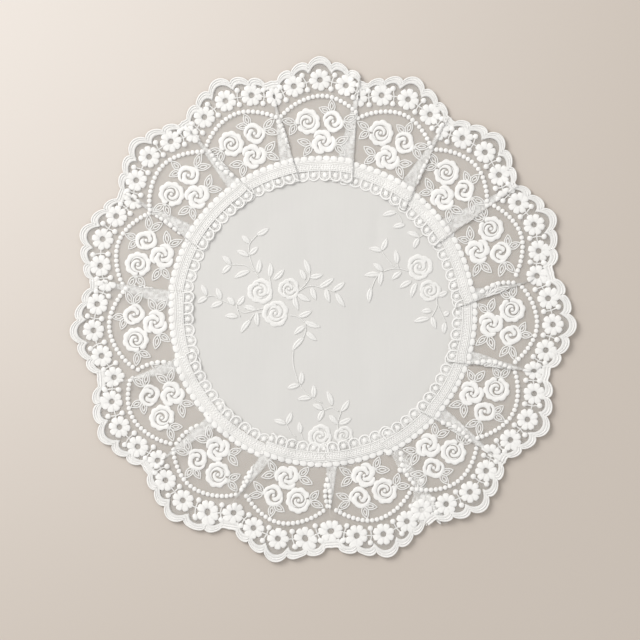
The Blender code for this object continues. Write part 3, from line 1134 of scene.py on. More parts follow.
@dataclass(frozen=True)
class TableTop:
    """Smooth, pale, warm surface with painted light: its colour is painted lighter towards the window and
    darker away from it.

    Attributes:
        name: Material name.
        near: Colour towards the window, painted lighter as painted light.
        far: Colour away from it, painted darker as painted shade.
        reach: Distance over which one turns into the other, in metres.
        corner: The middle of the painted light, its brightest place, in metres.
        start: How far the painted light has fallen off there.
        cloud: Scale of its uneven tone, in patches a metre.
        cloud_detail: Its finer layers.
        cloud_share: How far that turns the tone.
        roughness: Roughness.
        gloss: Specular level.
    """

    name: str = "pale_table_painted_light"
    near: Colour = (0.745, 0.695, 0.652)
    far: Colour = (0.583, 0.524, 0.470)
    reach: float = 0.50
    corner: Place = (-0.25, 0.22)
    start: float = -0.06
    cloud: float = 5.0
    cloud_detail: float = 2.0
    cloud_share: float = 0.06
    roughness: float = 0.9
    gloss: float = 0.2

    def build(self) -> bpy.types.Material:
        """Make the finish.

        Returns:
            The material.
        """
        material, graph, shader = principled(self.name)
        place = graph.node("ShaderNodeTexCoord").outputs["Object"]
        away = graph.vector("DISTANCE", place, (*self.corner, 0.0), output="Value")
        cloud = graph.noise(place, self.cloud, self.cloud_detail, flat=False).outputs["Fac"]
        # painted light: the colour turns from near to far with distance from the lit corner
        tone = graph.math("MULTIPLY_ADD", away, 1.0 / self.reach, self.start)
        tone = graph.math("MULTIPLY_ADD", cloud, self.cloud_share, tone)
        tone = graph.node("ShaderNodeMapRange", tone, at_interpolation_type="SMOOTHSTEP").outputs[0]
        graph.feed(shader, Base_Color=graph.blend(tone, self.near, self.far), Roughness=self.roughness,
                   Specular_IOR_Level=self.gloss)
        return material


def principled(name: str) -> tuple[bpy.types.Material, Graph, bpy.types.Node]:
    """A new node material.

    Args:
        name: Its name.

    Returns:
        The material, its graph and its Principled shader.
    """
    material = bpy.data.materials.new(name)
    material.use_nodes = True
    shader = next(node for node in material.node_tree.nodes if node.type == "BSDF_PRINCIPLED")
    return material, Graph(material.node_tree), shader


# ---------------------------------------------------------------------------------------------
# The lace's motifs
# ---------------------------------------------------------------------------------------------


@dataclass
class LaceGroup:
    """One kind of motif, drawn for one repeat and laid all along the strip.

    Attributes:
        strip: The laid strip.
        thread: Material of its stitches.
        name: The piece's name.
    """

    strip: Strip
    thread: bpy.types.Material
    name: ClassVar[str] = "lace"

    def lobe_motifs(self) -> list[Patch]:
        """Separate shapes of one lobe, x measured from its middle."""
        return []

    def valley_motifs(self) -> list[Patch]:
        """Separate shapes of one valley, x measured from its middle."""
        return []

    def repeated(self) -> list[Patch]:
        """Copy the shapes all along the strip.

        Returns:
            Those that lie between the strip's two cut ends.
        """
        repeat = self.strip.sizes.repeat
        kept = []
        for shapes, offset in ((self.lobe_motifs(), 0.0), (self.valley_motifs(), repeat / 2)):
            for index in range(-1, len(LOBES) + 1):
                for shape in shapes:
                    copy = shape.moved(index * repeat + offset)
                    if self.strip.keeps(*copy.co[:, :2].mean(axis=0)):
                        kept.append(copy)
        return kept

    def build(self) -> bpy.types.Object:
        """Lay the shapes and make the piece.

        Returns:
            The piece.
        """
        whole = joined(self.repeated())
        placed = Patch(self.strip.place(whole.co), whole.faces, whole.lay)
        piece = shown(bpy.data.objects.new(self.name, mesh_of(self.name, placed)))
        piece.data.materials.append(self.thread)
        # marks dense lace, which the net's material paints white, and otherwise paints grey as painted shade
        dense_unshaded = piece.data.attributes.new("dense_unshaded", "FLOAT", "POINT")
        dense_unshaded.data.foreach_set("value", self.strip.stacked(whole.co))
        return piece


@dataclass
class Roses(LaceGroup):
    """Three curled satin roses in each lobe."""

    name: ClassVar[str] = "lace_roses"
    full: Place = (-7.6, 20.4)
    small: Place = (7.5, 20.4)
    curled: Place = (1.7, 8.3)

    def lobe_motifs(self) -> list[Patch]:
        """The three roses of a lobe."""
        return [joined(self.full_rose()).moved(*self.full), joined(self.small_rose()).moved(*self.small),
                joined(self.curled_rose()).moved(*self.curled)]

    def full_rose(self) -> list[Patch]:
        """A rose with an open ruffled ring round two curls.

        Returns:
            Its petals.
        """
        curl = (1.2, 1.4, 2.2, 3.6, 4.1), (1.9, 3.3, 4.35, 4.6, 4.5), 0.75, 3, 0.3
        return [crescent(205, 352, (4.65, 4.75, 4.7, 4.75, 4.65), (6.7, 7.5, 7.2, 7.6, 6.5), 0.85, 9, 1.1),
                crescent(150, 300, *curl), crescent(-20, 290, *curl), dome(0.0, 0.1, 1.9, 2.3, 0.8, 80)]

    def small_rose(self) -> list[Patch]:
        """A rose of two curls with a short petal beside them.

        Returns:
            Its petals.
        """
        return [crescent(70, 310, (1.1, 1.4, 2.7, 4.2, 4.9), (2.0, 4.1, 5.7, 6.5, 5.7), 0.8, 4, 0.9),
                crescent(250, 300, (1.1, 1.4, 2.7, 4.2, 4.8), (2.0, 4.1, 5.7, 6.3, 5.6), 0.8, 4, 0.9),
                crescent(20, 150, (4.3, 4.9, 5.0), (5.0, 6.4, 5.6), 0.75, 2, 0.5),
                dome(0.0, 0.0, 1.9, 2.2, 0.85, 75)]

    def curled_rose(self) -> list[Patch]:
        """A rose of three equal curls.

        Returns:
            Its petals.
        """
        curl = (1.1, 1.3, 1.9, 3.2, 4.7, 5.6), (2.0, 3.6, 5.1, 6.7, 7.5, 6.7), 0.85, 4, 0.75
        curls = [crescent(start, 235, *curl) for start in (40, 160, 280)]
        return curls + [dome(0.1, 0.2, 1.8, 2.1, 0.85, 30)]


@dataclass
class Leaves(LaceGroup):
    """Outlined leaves in pairs beside the roses."""

    name: ClassVar[str] = "lace_leaves"
    pairs: tuple = (              # where each pair joins, and its two points
        ((-14.2, 19.6), ((-22.8, 21.6), (-18.2, 12.6))),
        ((6.8, 25.4), ((-0.6, 28.6), (6.9, 33.4))),
        ((13.2, 20.4), ((22.3, 23.8), (20.6, 14.4))),
        ((-5.0, 6.9), ((-13.8, 9.6), (-9.9, 0.7))),
        ((8.2, 7.3), ((16.6, 11.1), (14.6, 1.3))),
    )
    spray: tuple = ((0.0, 4.5), ((-5.8, 12.5), (0.0, 17.5), (5.8, 12.5)))
    widest: float = 2.0
    outlines: tuple = ((0.08, 1.0, 1.0), (0.3, 0.78, 0.45))      # from, to and width, as shares
    rows: int = 13
    belly: float = 0.8            # below 1 it is widest nearer its point
    fullness: float = 0.85        # below 1 its sides are rounder
    thread_half: float = 0.37
    thread_height: float = 0.6
    stalk: tuple[float, float] = (-0.06, 0.3)
    stalk_half: float = 0.3
    stalk_height: float = 0.5

    def leaf(self, root: Place, tip: Place) -> Patch:
        """One leaf: an outline with a smaller one inside.

        Args:
            root: Where it joins its pair.
            tip: Its point.

        Returns:
            The two outlines and a short stalk.
        """
        root, tip = np.array(root), np.array(tip)
        along = tip - root
        side = np.array((-along[1], along[0])) / np.linalg.norm(along)
        shapes = []
        for first, last, wide in self.outlines:
            share = np.linspace(0.0, 1.0, self.rows)
            wing = wide * self.widest * np.sin(math.pi * share ** self.belly) ** self.fullness
            spine = root + np.outer(first + (last - first) * share, along)
            loop = np.vstack((spine + np.outer(wing, side), (spine - np.outer(wing, side))[-2:0:-1]))
            shapes.append(ribbon(loop, self.thread_half, self.thread_height, Profile.THREAD, closed=True))
        stalk = line(tuple(root + share * along for share in self.stalk))
        shapes.append(ribbon(stalk, self.stalk_half, self.stalk_height, Profile.THREAD))
        return joined(shapes)

    def lobe_motifs(self) -> list[Patch]:
        """The five pairs of a lobe."""
        return [self.leaf(root, tip) for root, tips in self.pairs for tip in tips]

    def valley_motifs(self) -> list[Patch]:
        """The spray of three leaves inside a valley's drop of beads."""
        root, tips = self.spray
        return [self.leaf(root, tip) for tip in tips]


@dataclass
class Beads(LaceGroup):
    """Strings of knotted beads: an arch over each lobe and a drop round each valley."""

    name: ClassVar[str] = "lace_beads"
    pitch: float = 2.72
    width: float = 2.85
    tall: float = 1.25
    middle: float = 0.4           # height of its middle over the net, as a share of that
    arch: tuple = ((-23.4, 23.6), (-18.5, 28.2), (-12.0, 32.3), (-5.0, 34.9), (1.0, 35.6), (7.0, 34.7),
                   (13.0, 32.0), (18.6, 28.2), (23.4, 23.8))
    leg_shift: float = 2.0
    leg: tuple = ((27.2, 20.5), (25.6, 17.2), (24.4, 13.6), (23.8, 10.0), (23.9, 6.6), (24.8, 3.4))

    def lobe_motifs(self) -> list[Patch]:
        """The arch and both legs of a lobe.

        Returns:
            The single beads.
        """
        row = BeadRow("string_of_beads", self.thread, segments=10, rings=6)
        mirrored = tuple((self.leg_shift - x, y) for x, y in self.leg)
        beads = []
        for path in (self.arch, self.leg, mirrored):
            string = row.run(wire(line(path)), Pitch=self.pitch, Length_across=self.width,
                             Width_along=self.width, Height=self.tall)
            beads += islands(string.moved(up=self.middle * self.tall), row.points)
        return beads


@dataclass
class Flowers(LaceGroup):
    """Eyelet flowers: notched satin petals round an open ring."""

    name: ClassVar[str] = "lace_flowers"
    in_lobe: tuple = ((-15.4, 41.4), (0.0, 45.0), (15.4, 41.6))
    in_valley: Place = (0.0, 35.0)
    petals: int = 8
    rows: int = 15
    turn: float = 8.0
    hole: float = 1.6
    waist: float = 4.9
    reach: float = 6.65
    squareness: float = 2.2
    roundness: float = 0.66
    notch: float = 0.25
    notch_half: float = 0.2
    height: float = 0.85
    crown: float = 0.07           # how much higher a petal's middle is, as a share of that

    def flower(self) -> Patch:
        """One flower.

        Returns:
            The flower, round (0, 0).
        """
        share = np.linspace(-1.0, 1.0, self.rows)
        angle = share * math.pi / self.petals
        ray = np.column_stack((np.cos(angle), np.sin(angle)))
        swell = (1.0 - np.abs(share) ** self.squareness) ** self.roundness
        notch = self.notch * np.exp(-(share / self.notch_half) ** 2)
        far = self.waist + (self.reach - self.waist) * swell - notch
        tall = self.height * (1.0 - self.crown + self.crown * swell)
        near = np.full_like(far, self.hole)
        sector = band(ray * near[:, None], ray * far[:, None], tall, Profile.PAD)
        petal = shown(bpy.data.objects.new("petal", mesh_of("petal", sector)))
        return Whorl(self.thread).run(petal, Count=self.petals, First_angle=math.radians(self.turn))

    def lobe_motifs(self) -> list[Patch]:
        """The three flowers of a lobe."""
        flower = self.flower()
        return [flower.moved(*place) for place in self.in_lobe]

    def valley_motifs(self) -> list[Patch]:
        """The flower of a valley."""
        return [self.flower().moved(*self.in_valley)]


@dataclass
class Ties(LaceGroup):
    """Fine threads that tie the flowers, with a knotted dot at each loose end."""

    name: ClassVar[str] = "lace_ties"
    nodes: tuple = (              # where its threads meet, its two dots, and its two other ends
        ((-8.3, 43.5), ((-10.6, 47.6), (-7.4, 39.2)), ((-10.6, 42.8), (-5.6, 44.2))),
        ((7.0, 43.8), ((8.8, 47.8), (6.5, 39.6)), ((5.4, 44.4), (10.2, 43.0))),
        ((22.0, 37.6), ((23.0, 41.6), (19.6, 34.4)), ((19.4, 39.4), (24.2, 36.2))),
        ((-22.0, 37.4), ((-23.6, 40.8), (-20.2, 33.4)), ((-19.4, 39.2), (-24.2, 36.0))),
    )
    thread_half: float = 0.36
    thread_height: float = 0.7
    dot: tuple = (3.3, 3.3, 1.35, 20)      # width, length, height and turn
    knot: tuple = (1.0, 1.0, 0.7)

    def lobe_motifs(self) -> list[Patch]:
        """The four ties of a lobe.

        Returns:
            A tie with its dots for each place.
        """
        shapes = []
        for node, dots, roots in self.nodes:
            ends = [ribbon(line((node, end)), self.thread_half, self.thread_height, Profile.THREAD)
                    for end in (*dots, *roots)]
            knots = [dome(x, y, *self.dot) for x, y in dots]
            shapes.append(joined(ends + knots + [dome(*node, *self.knot)]))
        return shapes


@dataclass
class Scallops(LaceGroup):
    """The scalloped edge: a satin band under two raised cords."""

    name: ClassVar[str] = "lace_edge"
    cusps: tuple = ((0.0, 45.2), (3.75, 45.5), (11.75, 49.6), (21.95, 53.5), (35.55, 53.5),
                    (45.75, 49.6), (53.75, 45.5), (57.5, 45.2))
    rises: tuple = (-0.6, 2.6, 3.5, 5.6, 3.5, 2.6, -0.6)
    bow_power: float = 1.25
    peak_band: float = 4.7
    cusp_band: float = 6.0
    step: float = 0.5
    trim: float = 4.0
    band_from: float = 0.02       # places across the band: 0 is its outer edge, 1 its inner
    band_height: float = 0.45
    band_slant: float = 0.25
    cords: tuple = ((0.1, 0.5, 1.1), (0.4, 0.4, 1.0))      # place, half width and height
    cord_foot: float = 0.1
    stitch_row: float = 0.76
    stitch: float = 0.55
    stitch_size: tuple = (2.1, 0.62, 0.6)      # across the band, along it, and up
    stitch_up: float = 0.6

    def along(self) -> np.ndarray:
        """Flat x of each row, from one cut end to the other."""
        start, finish = self.strip.ends(self.strip.START_LINE[-1][0])
        return np.arange(start + self.trim, finish, self.step)

    def outline(self, s: np.ndarray, inwards: float = 0.0) -> np.ndarray:
        """Distance of the edge from the heading's rim.

        Args:
            s: Flat distance along the strip.
            inwards: 0 at the outer edge, 1 at the band's inner edge.

        Returns:
            The distances.
        """
        x, y = np.array(self.cusps).T
        place = np.mod(s - self.strip.sizes.half, self.strip.sizes.repeat)
        index = np.clip(np.searchsorted(x, place, side="right") - 1, 0, len(self.rises) - 1)
        share = (place - x[index]) / (x[index + 1] - x[index])
        bow = np.sqrt(np.maximum(1.0 - (2 * share - 1.0) ** 2, 0.0)) ** self.bow_power
        rise = np.array(self.rises)[index]
        band_depth = self.cusp_band + (self.peak_band - self.cusp_band) * bow
        chord = y[index] + (y[index + 1] - y[index]) * share
        return chord + rise * bow - inwards * band_depth

    def row(self, inwards: float) -> np.ndarray:
        """Points along the band."""
        s = self.along()
        return np.column_stack((s, self.outline(s, inwards)))

    def repeated(self) -> list[Patch]:
        """Band, cords and the stitches along its inner edge.

        Returns:
            Each of them along the whole strip.
        """
        shapes = [band(self.row(self.band_from), self.row(1.0), self.band_height, Profile.CORD,
                       slant=self.band_slant)]
        for place, half, height in self.cords:
            shapes.append(ribbon(self.row(place), half, height, Profile.THREAD, base=self.cord_foot))
        stitches = BeadRow("whipped_stitches", self.thread, segments=6, rings=4)
        across, along, tall = self.stitch_size
        row = stitches.run(wire(self.row(self.stitch_row)), Pitch=self.stitch, Length_across=across,
                           Width_along=along, Height=tall)
        return shapes + [row.moved(up=self.stitch_up)]


@dataclass
class Heading(LaceGroup):
    """The gathered heading: oval bumps, a braid, and open cells with a dot in each."""

    name: ClassVar[str] = "lace_heading"
    step: float = 0.9
    ends_past: float = 40.0       # about what both ends add to the strip's length
    base: tuple = (-1.6, -8.7, 0.22)      # outer and inner edge, and height
    base_slant: float = 0.5
    # each line's place, half width and height
    lines: tuple = ((-3.35, 0.33, 1.0), (-4.35, 0.3, 0.95), (-8.5, 0.33, 0.9))
    line_slant: float = 0.6
    bump_row: float = -1.4
    bump_pitch: float = 4.42
    bump: tuple = (3.7, 4.75, 0.95)      # across the heading, along it, and up
    bump_up: float = 0.3
    # each row of knots: its place, pitch, and a knot's size across and along
    braid: tuple = ((-5.35, 1.45, 0.85, 1.1), (-6.45, 2.1, 0.75, 1.6), (-7.55, 1.45, 0.85, 1.1))
    knot_height: float = 0.75
    knot_up: float = 0.5
    cell_pitch: float = 6.39
    cell_top: float = -8.6
    cell_foot: float = -14.5
    cell_corner: tuple = ((0.0, 3.0), (0.9, 1.0))      # in from its wall, up from its foot
    cell_step: float = 1.0
    cord: float = 0.52
    cord_height: float = 0.55
    dot: tuple = (2.7, 3.1, 0.5, 90)      # width, length, height and turn
    dot_up: float = 0.3           # how far outwards of its cell's middle

    def straight(self, y: float) -> np.ndarray:
        """Points of a straight row.

        Args:
            y: Its distance from the heading's rim.

        Returns:
            Rows of x and y, from one cut end to the other.
        """
        s = np.linspace(*self.strip.ends(y), int((self.strip.last + self.ends_past) / self.step))
        return np.column_stack((s, np.full_like(s, y)))

    def cell(self) -> Patch:
        """One open cell and its dot.

        Returns:
            The cell, x from its left wall.
        """
        wide, top, foot = self.cell_pitch, self.cell_top, self.cell_foot
        left = tuple((x, foot + up) for x, up in self.cell_corner)
        right = tuple((wide - x, y) for x, y in reversed(left))
        curve = ((0.0, top), *left, (wide / 2, foot), *right, (wide, top))
        wall = ribbon(line(curve, self.cell_step), self.cord, self.cord_height, Profile.THREAD)
        return joined([wall, dome(wide / 2, (top + foot) / 2 + self.dot_up, *self.dot)])

    def repeated(self) -> list[Patch]:
        """All rows of the heading.

        Returns:
            Each of them along the whole strip.
        """
        shapes = [ribbon(self.straight(y), half, height, Profile.THREAD, slant=self.line_slant)
                  for y, half, height in self.lines]
        outer, inner, height = self.base
        shapes.append(band(self.straight(outer), self.straight(inner), height, Profile.CORD,
                           slant=self.base_slant))
        bumps = BeadRow("heading_bumps", self.thread, segments=8, rings=6)
        deep, wide, tall = self.bump
        row = bumps.run(wire(self.straight(self.bump_row)), Pitch=self.bump_pitch, Length_across=deep,
                        Width_along=wide, Height=tall)
        shapes.append(row.moved(up=self.bump_up))
        knots = BeadRow("braid_knots", self.thread, segments=6, rings=4)
        for y, pitch, deep, wide in self.braid:
            row = knots.run(wire(self.straight(y)), Pitch=pitch, Length_across=deep, Width_along=wide,
                            Height=self.knot_height)
            shapes.append(row.moved(up=self.knot_up))
        first, last = self.strip.ends(self.cell_foot)
        cell = self.cell()
        return shapes + [cell.moved(place)
                         for place in np.arange(first, last - self.cell_pitch, self.cell_pitch)]


@dataclass
class Net(LaceGroup):
    """The net ground that carries the lace, one layer of cloth."""

    name: ClassVar[str] = "lace_net"
    columns: float = 0.62
    past: float = 35.5            # just past the furthest point of the strip's last cut
    rows: int = 44
    foot: float = -14.2
    inside: float = 1.6

    def repeated(self) -> list[Patch]:
        """The whole net, cut to its two ends.

        Returns:
            The net, flat.
        """
        strip, edge = self.strip, Scallops(self.strip, self.thread)
        s = np.arange(strip.START_LINE[-1][1], strip.last + self.past, self.columns)
        top = edge.outline(s) - self.inside
        share = np.linspace(0.0, 1.0, self.rows)
        y = self.foot + (top - self.foot)[:, None] * share[None, :]
        x = np.clip(np.broadcast_to(s[:, None], y.shape), *strip.ends(y))
        i, j = np.meshgrid(np.arange(len(s) - 1), np.arange(self.rows - 1), indexing="ij")
        corner = i * self.rows + j
        faces = np.stack((corner, corner + self.rows, corner + self.rows + 1, corner + 1), axis=-1)
        faces = faces.reshape(-1, 4)
        flat = np.column_stack((x.ravel(), y.ravel()))
        sides = flat[faces, 0]
        width = sides[:, 1] + sides[:, 2] - sides[:, 0] - sides[:, 3]
        used, faces = np.unique(faces[width > TINY], return_inverse=True)
        flat = flat[used]
        return [Patch(np.column_stack((flat, np.zeros(len(flat)))), faces.reshape(-1, 4), flat)]


# ---------------------------------------------------------------------------------------------
# The centre
# ---------------------------------------------------------------------------------------------


@dataclass(frozen=True)
class Spray:
    """One embroidered spray, in millimetres from the doily's middle.

    Attributes:
        roses: Middle and radius of each rose.
        stems: Points of each stem.
        leaves: Root and tip of each leaf.
    """

    roses: tuple[tuple[float, float, float], ...]
    stems: tuple[tuple[Place, ...], ...]
    leaves: tuple[tuple[Place, Place], ...]


SPRAYS = (
    Spray(
        roses=((-36.5, 12.5, 7.4), (-19.5, 14.0, 6.2), (-27.5, -0.5, 7.6)),
        stems=(((-14, 12.5), (-10, 15), (-5.5, 16), (-1.5, 15), (2.5, 14), (8, 12)),
               ((-15, 12), (-10, 16.5), (-7.5, 20.5), (-7.5, 23)),
               ((-31, 21), (-30.5, 17.5), (-30, 14.5)),
               ((-50.5, 4.5), (-50, 1.5), (-48.5, -2.5)),
               ((-50, 2), (-46, 0), (-39, 1.5), (-33, 3)),
               ((-42.5, -4.5), (-40, -1), (-34, 0)),
               ((-19, -1.5), (-14.5, -2.5), (-10, -6)),
               ((-37.5, 21), (-40.5, 26), (-43, 34), (-43, 40.5), (-38.5, 46)),
               ((-40, 24.5), (-45.5, 28), (-54, 28.5)),
               ((-68, 9.5), (-64, 10), (-59, 7), (-52, 4.5)),
               ((-10, -6), (-9.5, -10), (-11, -15)),
               ((-17, -22), (-17.2, -28), (-16.4, -34), (-14, -41.5))),
        leaves=(((-38, 23.5), (-37, 31.5)), ((-31, 21), (-30.5, 29.5)), ((-28.5, 19.5), (-22.5, 25.5)),
                ((-43, 24.5), (-52, 20.5)), ((-10, 19.5), (-13, 25.5)), ((-7.5, 23), (-10.5, 31.5)),
                ((-7, 21), (0.5, 22.5)), ((-1.5, 15), (7, 20.5)), ((6.5, 13), (13.5, 18)),
                ((2.5, 14), (4.5, 6)), ((8.5, 11.5), (13.5, 3.5)), ((-6, 15), (-3.5, 7.5)),
                ((-14.5, 11), (-7, 7)), ((-16.5, 10), (-14, 1.5)), ((-50, 4.5), (-46, 10)),
                ((-52, 4.5), (-56, 9)), ((-50, -2.5), (-57.5, -2)), ((-39, 1.5), (-46.5, 3.5)),
                ((-38.5, 0), (-38, -8)), ((-42.5, -4.5), (-48, -12)), ((-14, -2.5), (-6, 1)),
                ((-10, -5.5), (-1, -8.5)), ((-10, -8), (-16.5, -13)), ((-9, -11.5), (-3, -16.5)),
                ((-11, -15), (-17.5, -22.5)), ((-38.5, 46), (-31.5, 50)), ((-43, 41), (-47.5, 45.5)),
                ((-43, 34.5), (-38, 39)), ((-43.5, 33.5), (-50.5, 36.5)), ((-54, 28.5), (-59, 33.5)),
                ((-54, 28), (-59, 23)), ((-68.5, 10), (-71.5, 16.5)), ((-68, 9), (-74, 5.5)),
                ((-60, 8), (-62.5, 14.5)), ((-59, 6), (-66, 3)))),
    Spray(
        roses=((58.0, 27.0, 7.4), (64.0, 13.0, 6.2)),
        stems=(((44, 59.5), (46.5, 56), (47.5, 53)),
               ((60, 46), (57.5, 44.5), (56, 43)),
               ((35.5, 36), (40.5, 29.5), (46, 26)),
               ((44.5, 29), (45.5, 26.5)),
               ((36.5, 24.5), (41.5, 26), (46, 26), (51.5, 24.5)),
               ((36, 24), (32, 20.5), (29, 13.5)),
               ((68, 9), (68, 3.5), (65, -2.5)),
               ((68.5, 5), (71, -1), (73.5, -6))),
        leaves=(((44, 59.5), (36, 57.5)), ((49, 52), (42, 50.5)), ((57.5, 45), (50.5, 47.5)),
                ((57.5, 44), (54.5, 38)), ((35.5, 37), (38.5, 44)), ((35.5, 36.5), (28, 38)),
                ((44.5, 29), (43.5, 37)), ((36, 24.5), (30.5, 29)), ((34.5, 22.5), (25, 22)),
                ((35.5, 24), (34.5, 16)), ((29, 14.5), (28, 6)), ((47, 24), (41.5, 19.5)),
                ((53, 18.5), (46, 14.5)), ((56, 17.5), (53, 9)), ((69, 10), (74.5, 12.5)),
                ((65, 1), (59, 0.5)), ((63.5, -3.5), (54.5, -5.5)), ((65.5, -2.5), (67.5, -9.5)),
                ((73, -6), (72.5, -12.5)), ((72, -1.5), (75.5, 0.5)))),
    Spray(
        roses=((-1.0, -73.5, 7.0), (13.0, -73.0, 5.6)),
        stems=(((-13.5, -42), (-11, -46), (-5, -51), (0, -53.5)),
               ((1, -58), (5.5, -56.5), (10, -58.5)),
               ((11.5, -58.5), (9.5, -64.5), (9.5, -70.5)),
               ((-21, -66), (-19, -70.5), (-15.5, -73.5)),
               ((-12.5, -71.5), (-11, -76))),
        leaves=(((-12.5, -42.5), (-12, -35)), ((-13.5, -43), (-20.5, -45)), ((-5, -50.5), (-5, -43)),
                ((-6.5, -50.5), (-14.5, -51.5)), ((6, -55), (3, -46.5)), ((11.5, -58.5), (16, -52)),
                ((0.5, -57.5), (-5.5, -54.5)), ((1, -58), (-2, -64.5)), ((9, -66), (4, -61)),
                ((10, -66), (17.5, -62.5)), ((-21.5, -66), (-28.5, -64)), ((-21, -66), (-18, -59)),
                ((-13, -71.5), (-13.5, -65)), ((-21, -77), (-26, -73)))),
)


@dataclass(frozen=True)
class Crease:
    """A soft crease of the centre cloth, in millimetres.

    Attributes:
        place: Where it crosses y = 0.
        lean: How far it moves along x for each y.
        depth: How deep it is.
        width: How wide it is.
        low: The y where it starts.
        high: The y where it ends.
    """

    place: float
    lean: float
    depth: float
    width: float
    low: float
    high: float


@dataclass
class CentreCloth:
    """The round piece of sheer cotton, lying almost flat."""

    cloth: bpy.types.Material
    radius: float = 83.5
    rings: int = 110
    spokes: int = 360
    rest: float = 0.6
    free_to: float = 62.0         # beyond this the heading holds it down
    free_blur: float = 12.0
    swell: float = 0.16
    swell_x: tuple[float, float] = (0.055, 0.8)
    swell_y: tuple[float, float] = (0.048, -0.5)
    ripple: float = 0.07
    ripple_run: tuple[float, float] = (0.11, -0.07)
    fade: float = 14.0            # over which a crease runs out
    creases: tuple[Crease, ...] = (
        Crease(30.0, 0.06, 0.30, 4.5, 30.0, 78.0),
        Crease(-6.0, -0.10, 0.14, 6.0, 18.0, 78.0),
        Crease(-34.0, 0.05, 0.12, 7.0, -70.0, -20.0),
        Crease(22.0, -0.12, 0.14, 6.0, -60.0, 10.0),
    )

    def height(self, x: np.ndarray, y: np.ndarray) -> np.ndarray:
        """Height of the cloth over the table, with its soft creases.

        Args:
            x: Millimetres from the middle.
            y: The same.

        Returns:
            The height, in millimetres.
        """
        radius = np.hypot(x, y)
        free = 1.0 - smooth((radius - self.free_to) / self.free_blur)
        (run_x, start_x), (run_y, start_y) = self.swell_x, self.swell_y
        rise = self.swell * np.sin(x * run_x + start_x) * np.sin(y * run_y + start_y)
        rise = rise + self.ripple * np.sin(x * self.ripple_run[0] + y * self.ripple_run[1])
        for crease in self.creases:
            off = x - crease.place - crease.lean * y
            length = smooth((y - crease.low) / self.fade) * smooth((crease.high - y) / self.fade)
            rise = rise - crease.depth * np.exp(-(off / crease.width) ** 2) * length
        return self.rest + free * rise

    def build(self) -> bpy.types.Object:
        """Make the cloth.

        Returns:
            The piece.
        """
        share = np.sqrt(np.linspace(0.0, 1.0, self.rings + 1)[1:])
        angle = 2 * math.pi * np.arange(self.spokes) / self.spokes
        x = np.append(0.0, np.outer(self.radius * share, np.cos(angle)))
        y = np.append(0.0, np.outer(self.radius * share, np.sin(angle)))
        hub = np.arange(self.spokes)
        fan = np.column_stack((np.zeros_like(hub), 1 + hub, 1 + (hub + 1) % self.spokes,
                               np.full_like(hub, -1)))
        i, j = np.meshgrid(np.arange(self.rings - 1), hub, indexing="ij")
        inner, after = 1 + i * self.spokes, (j + 1) % self.spokes
        quads = np.stack((inner + j, inner + self.spokes + j, inner + self.spokes + after, inner + after),
                         axis=-1).reshape(-1, 4)
        flat = np.column_stack((x, y))
        patch = Patch(np.column_stack((flat, self.height(x, y))) * MM, np.vstack((fan, quads)), flat)
        piece = shown(bpy.data.objects.new("centre_cloth_sheet", mesh_of("centre_cloth_sheet", patch)))
        piece.data.materials.append(self.cloth)
        return piece


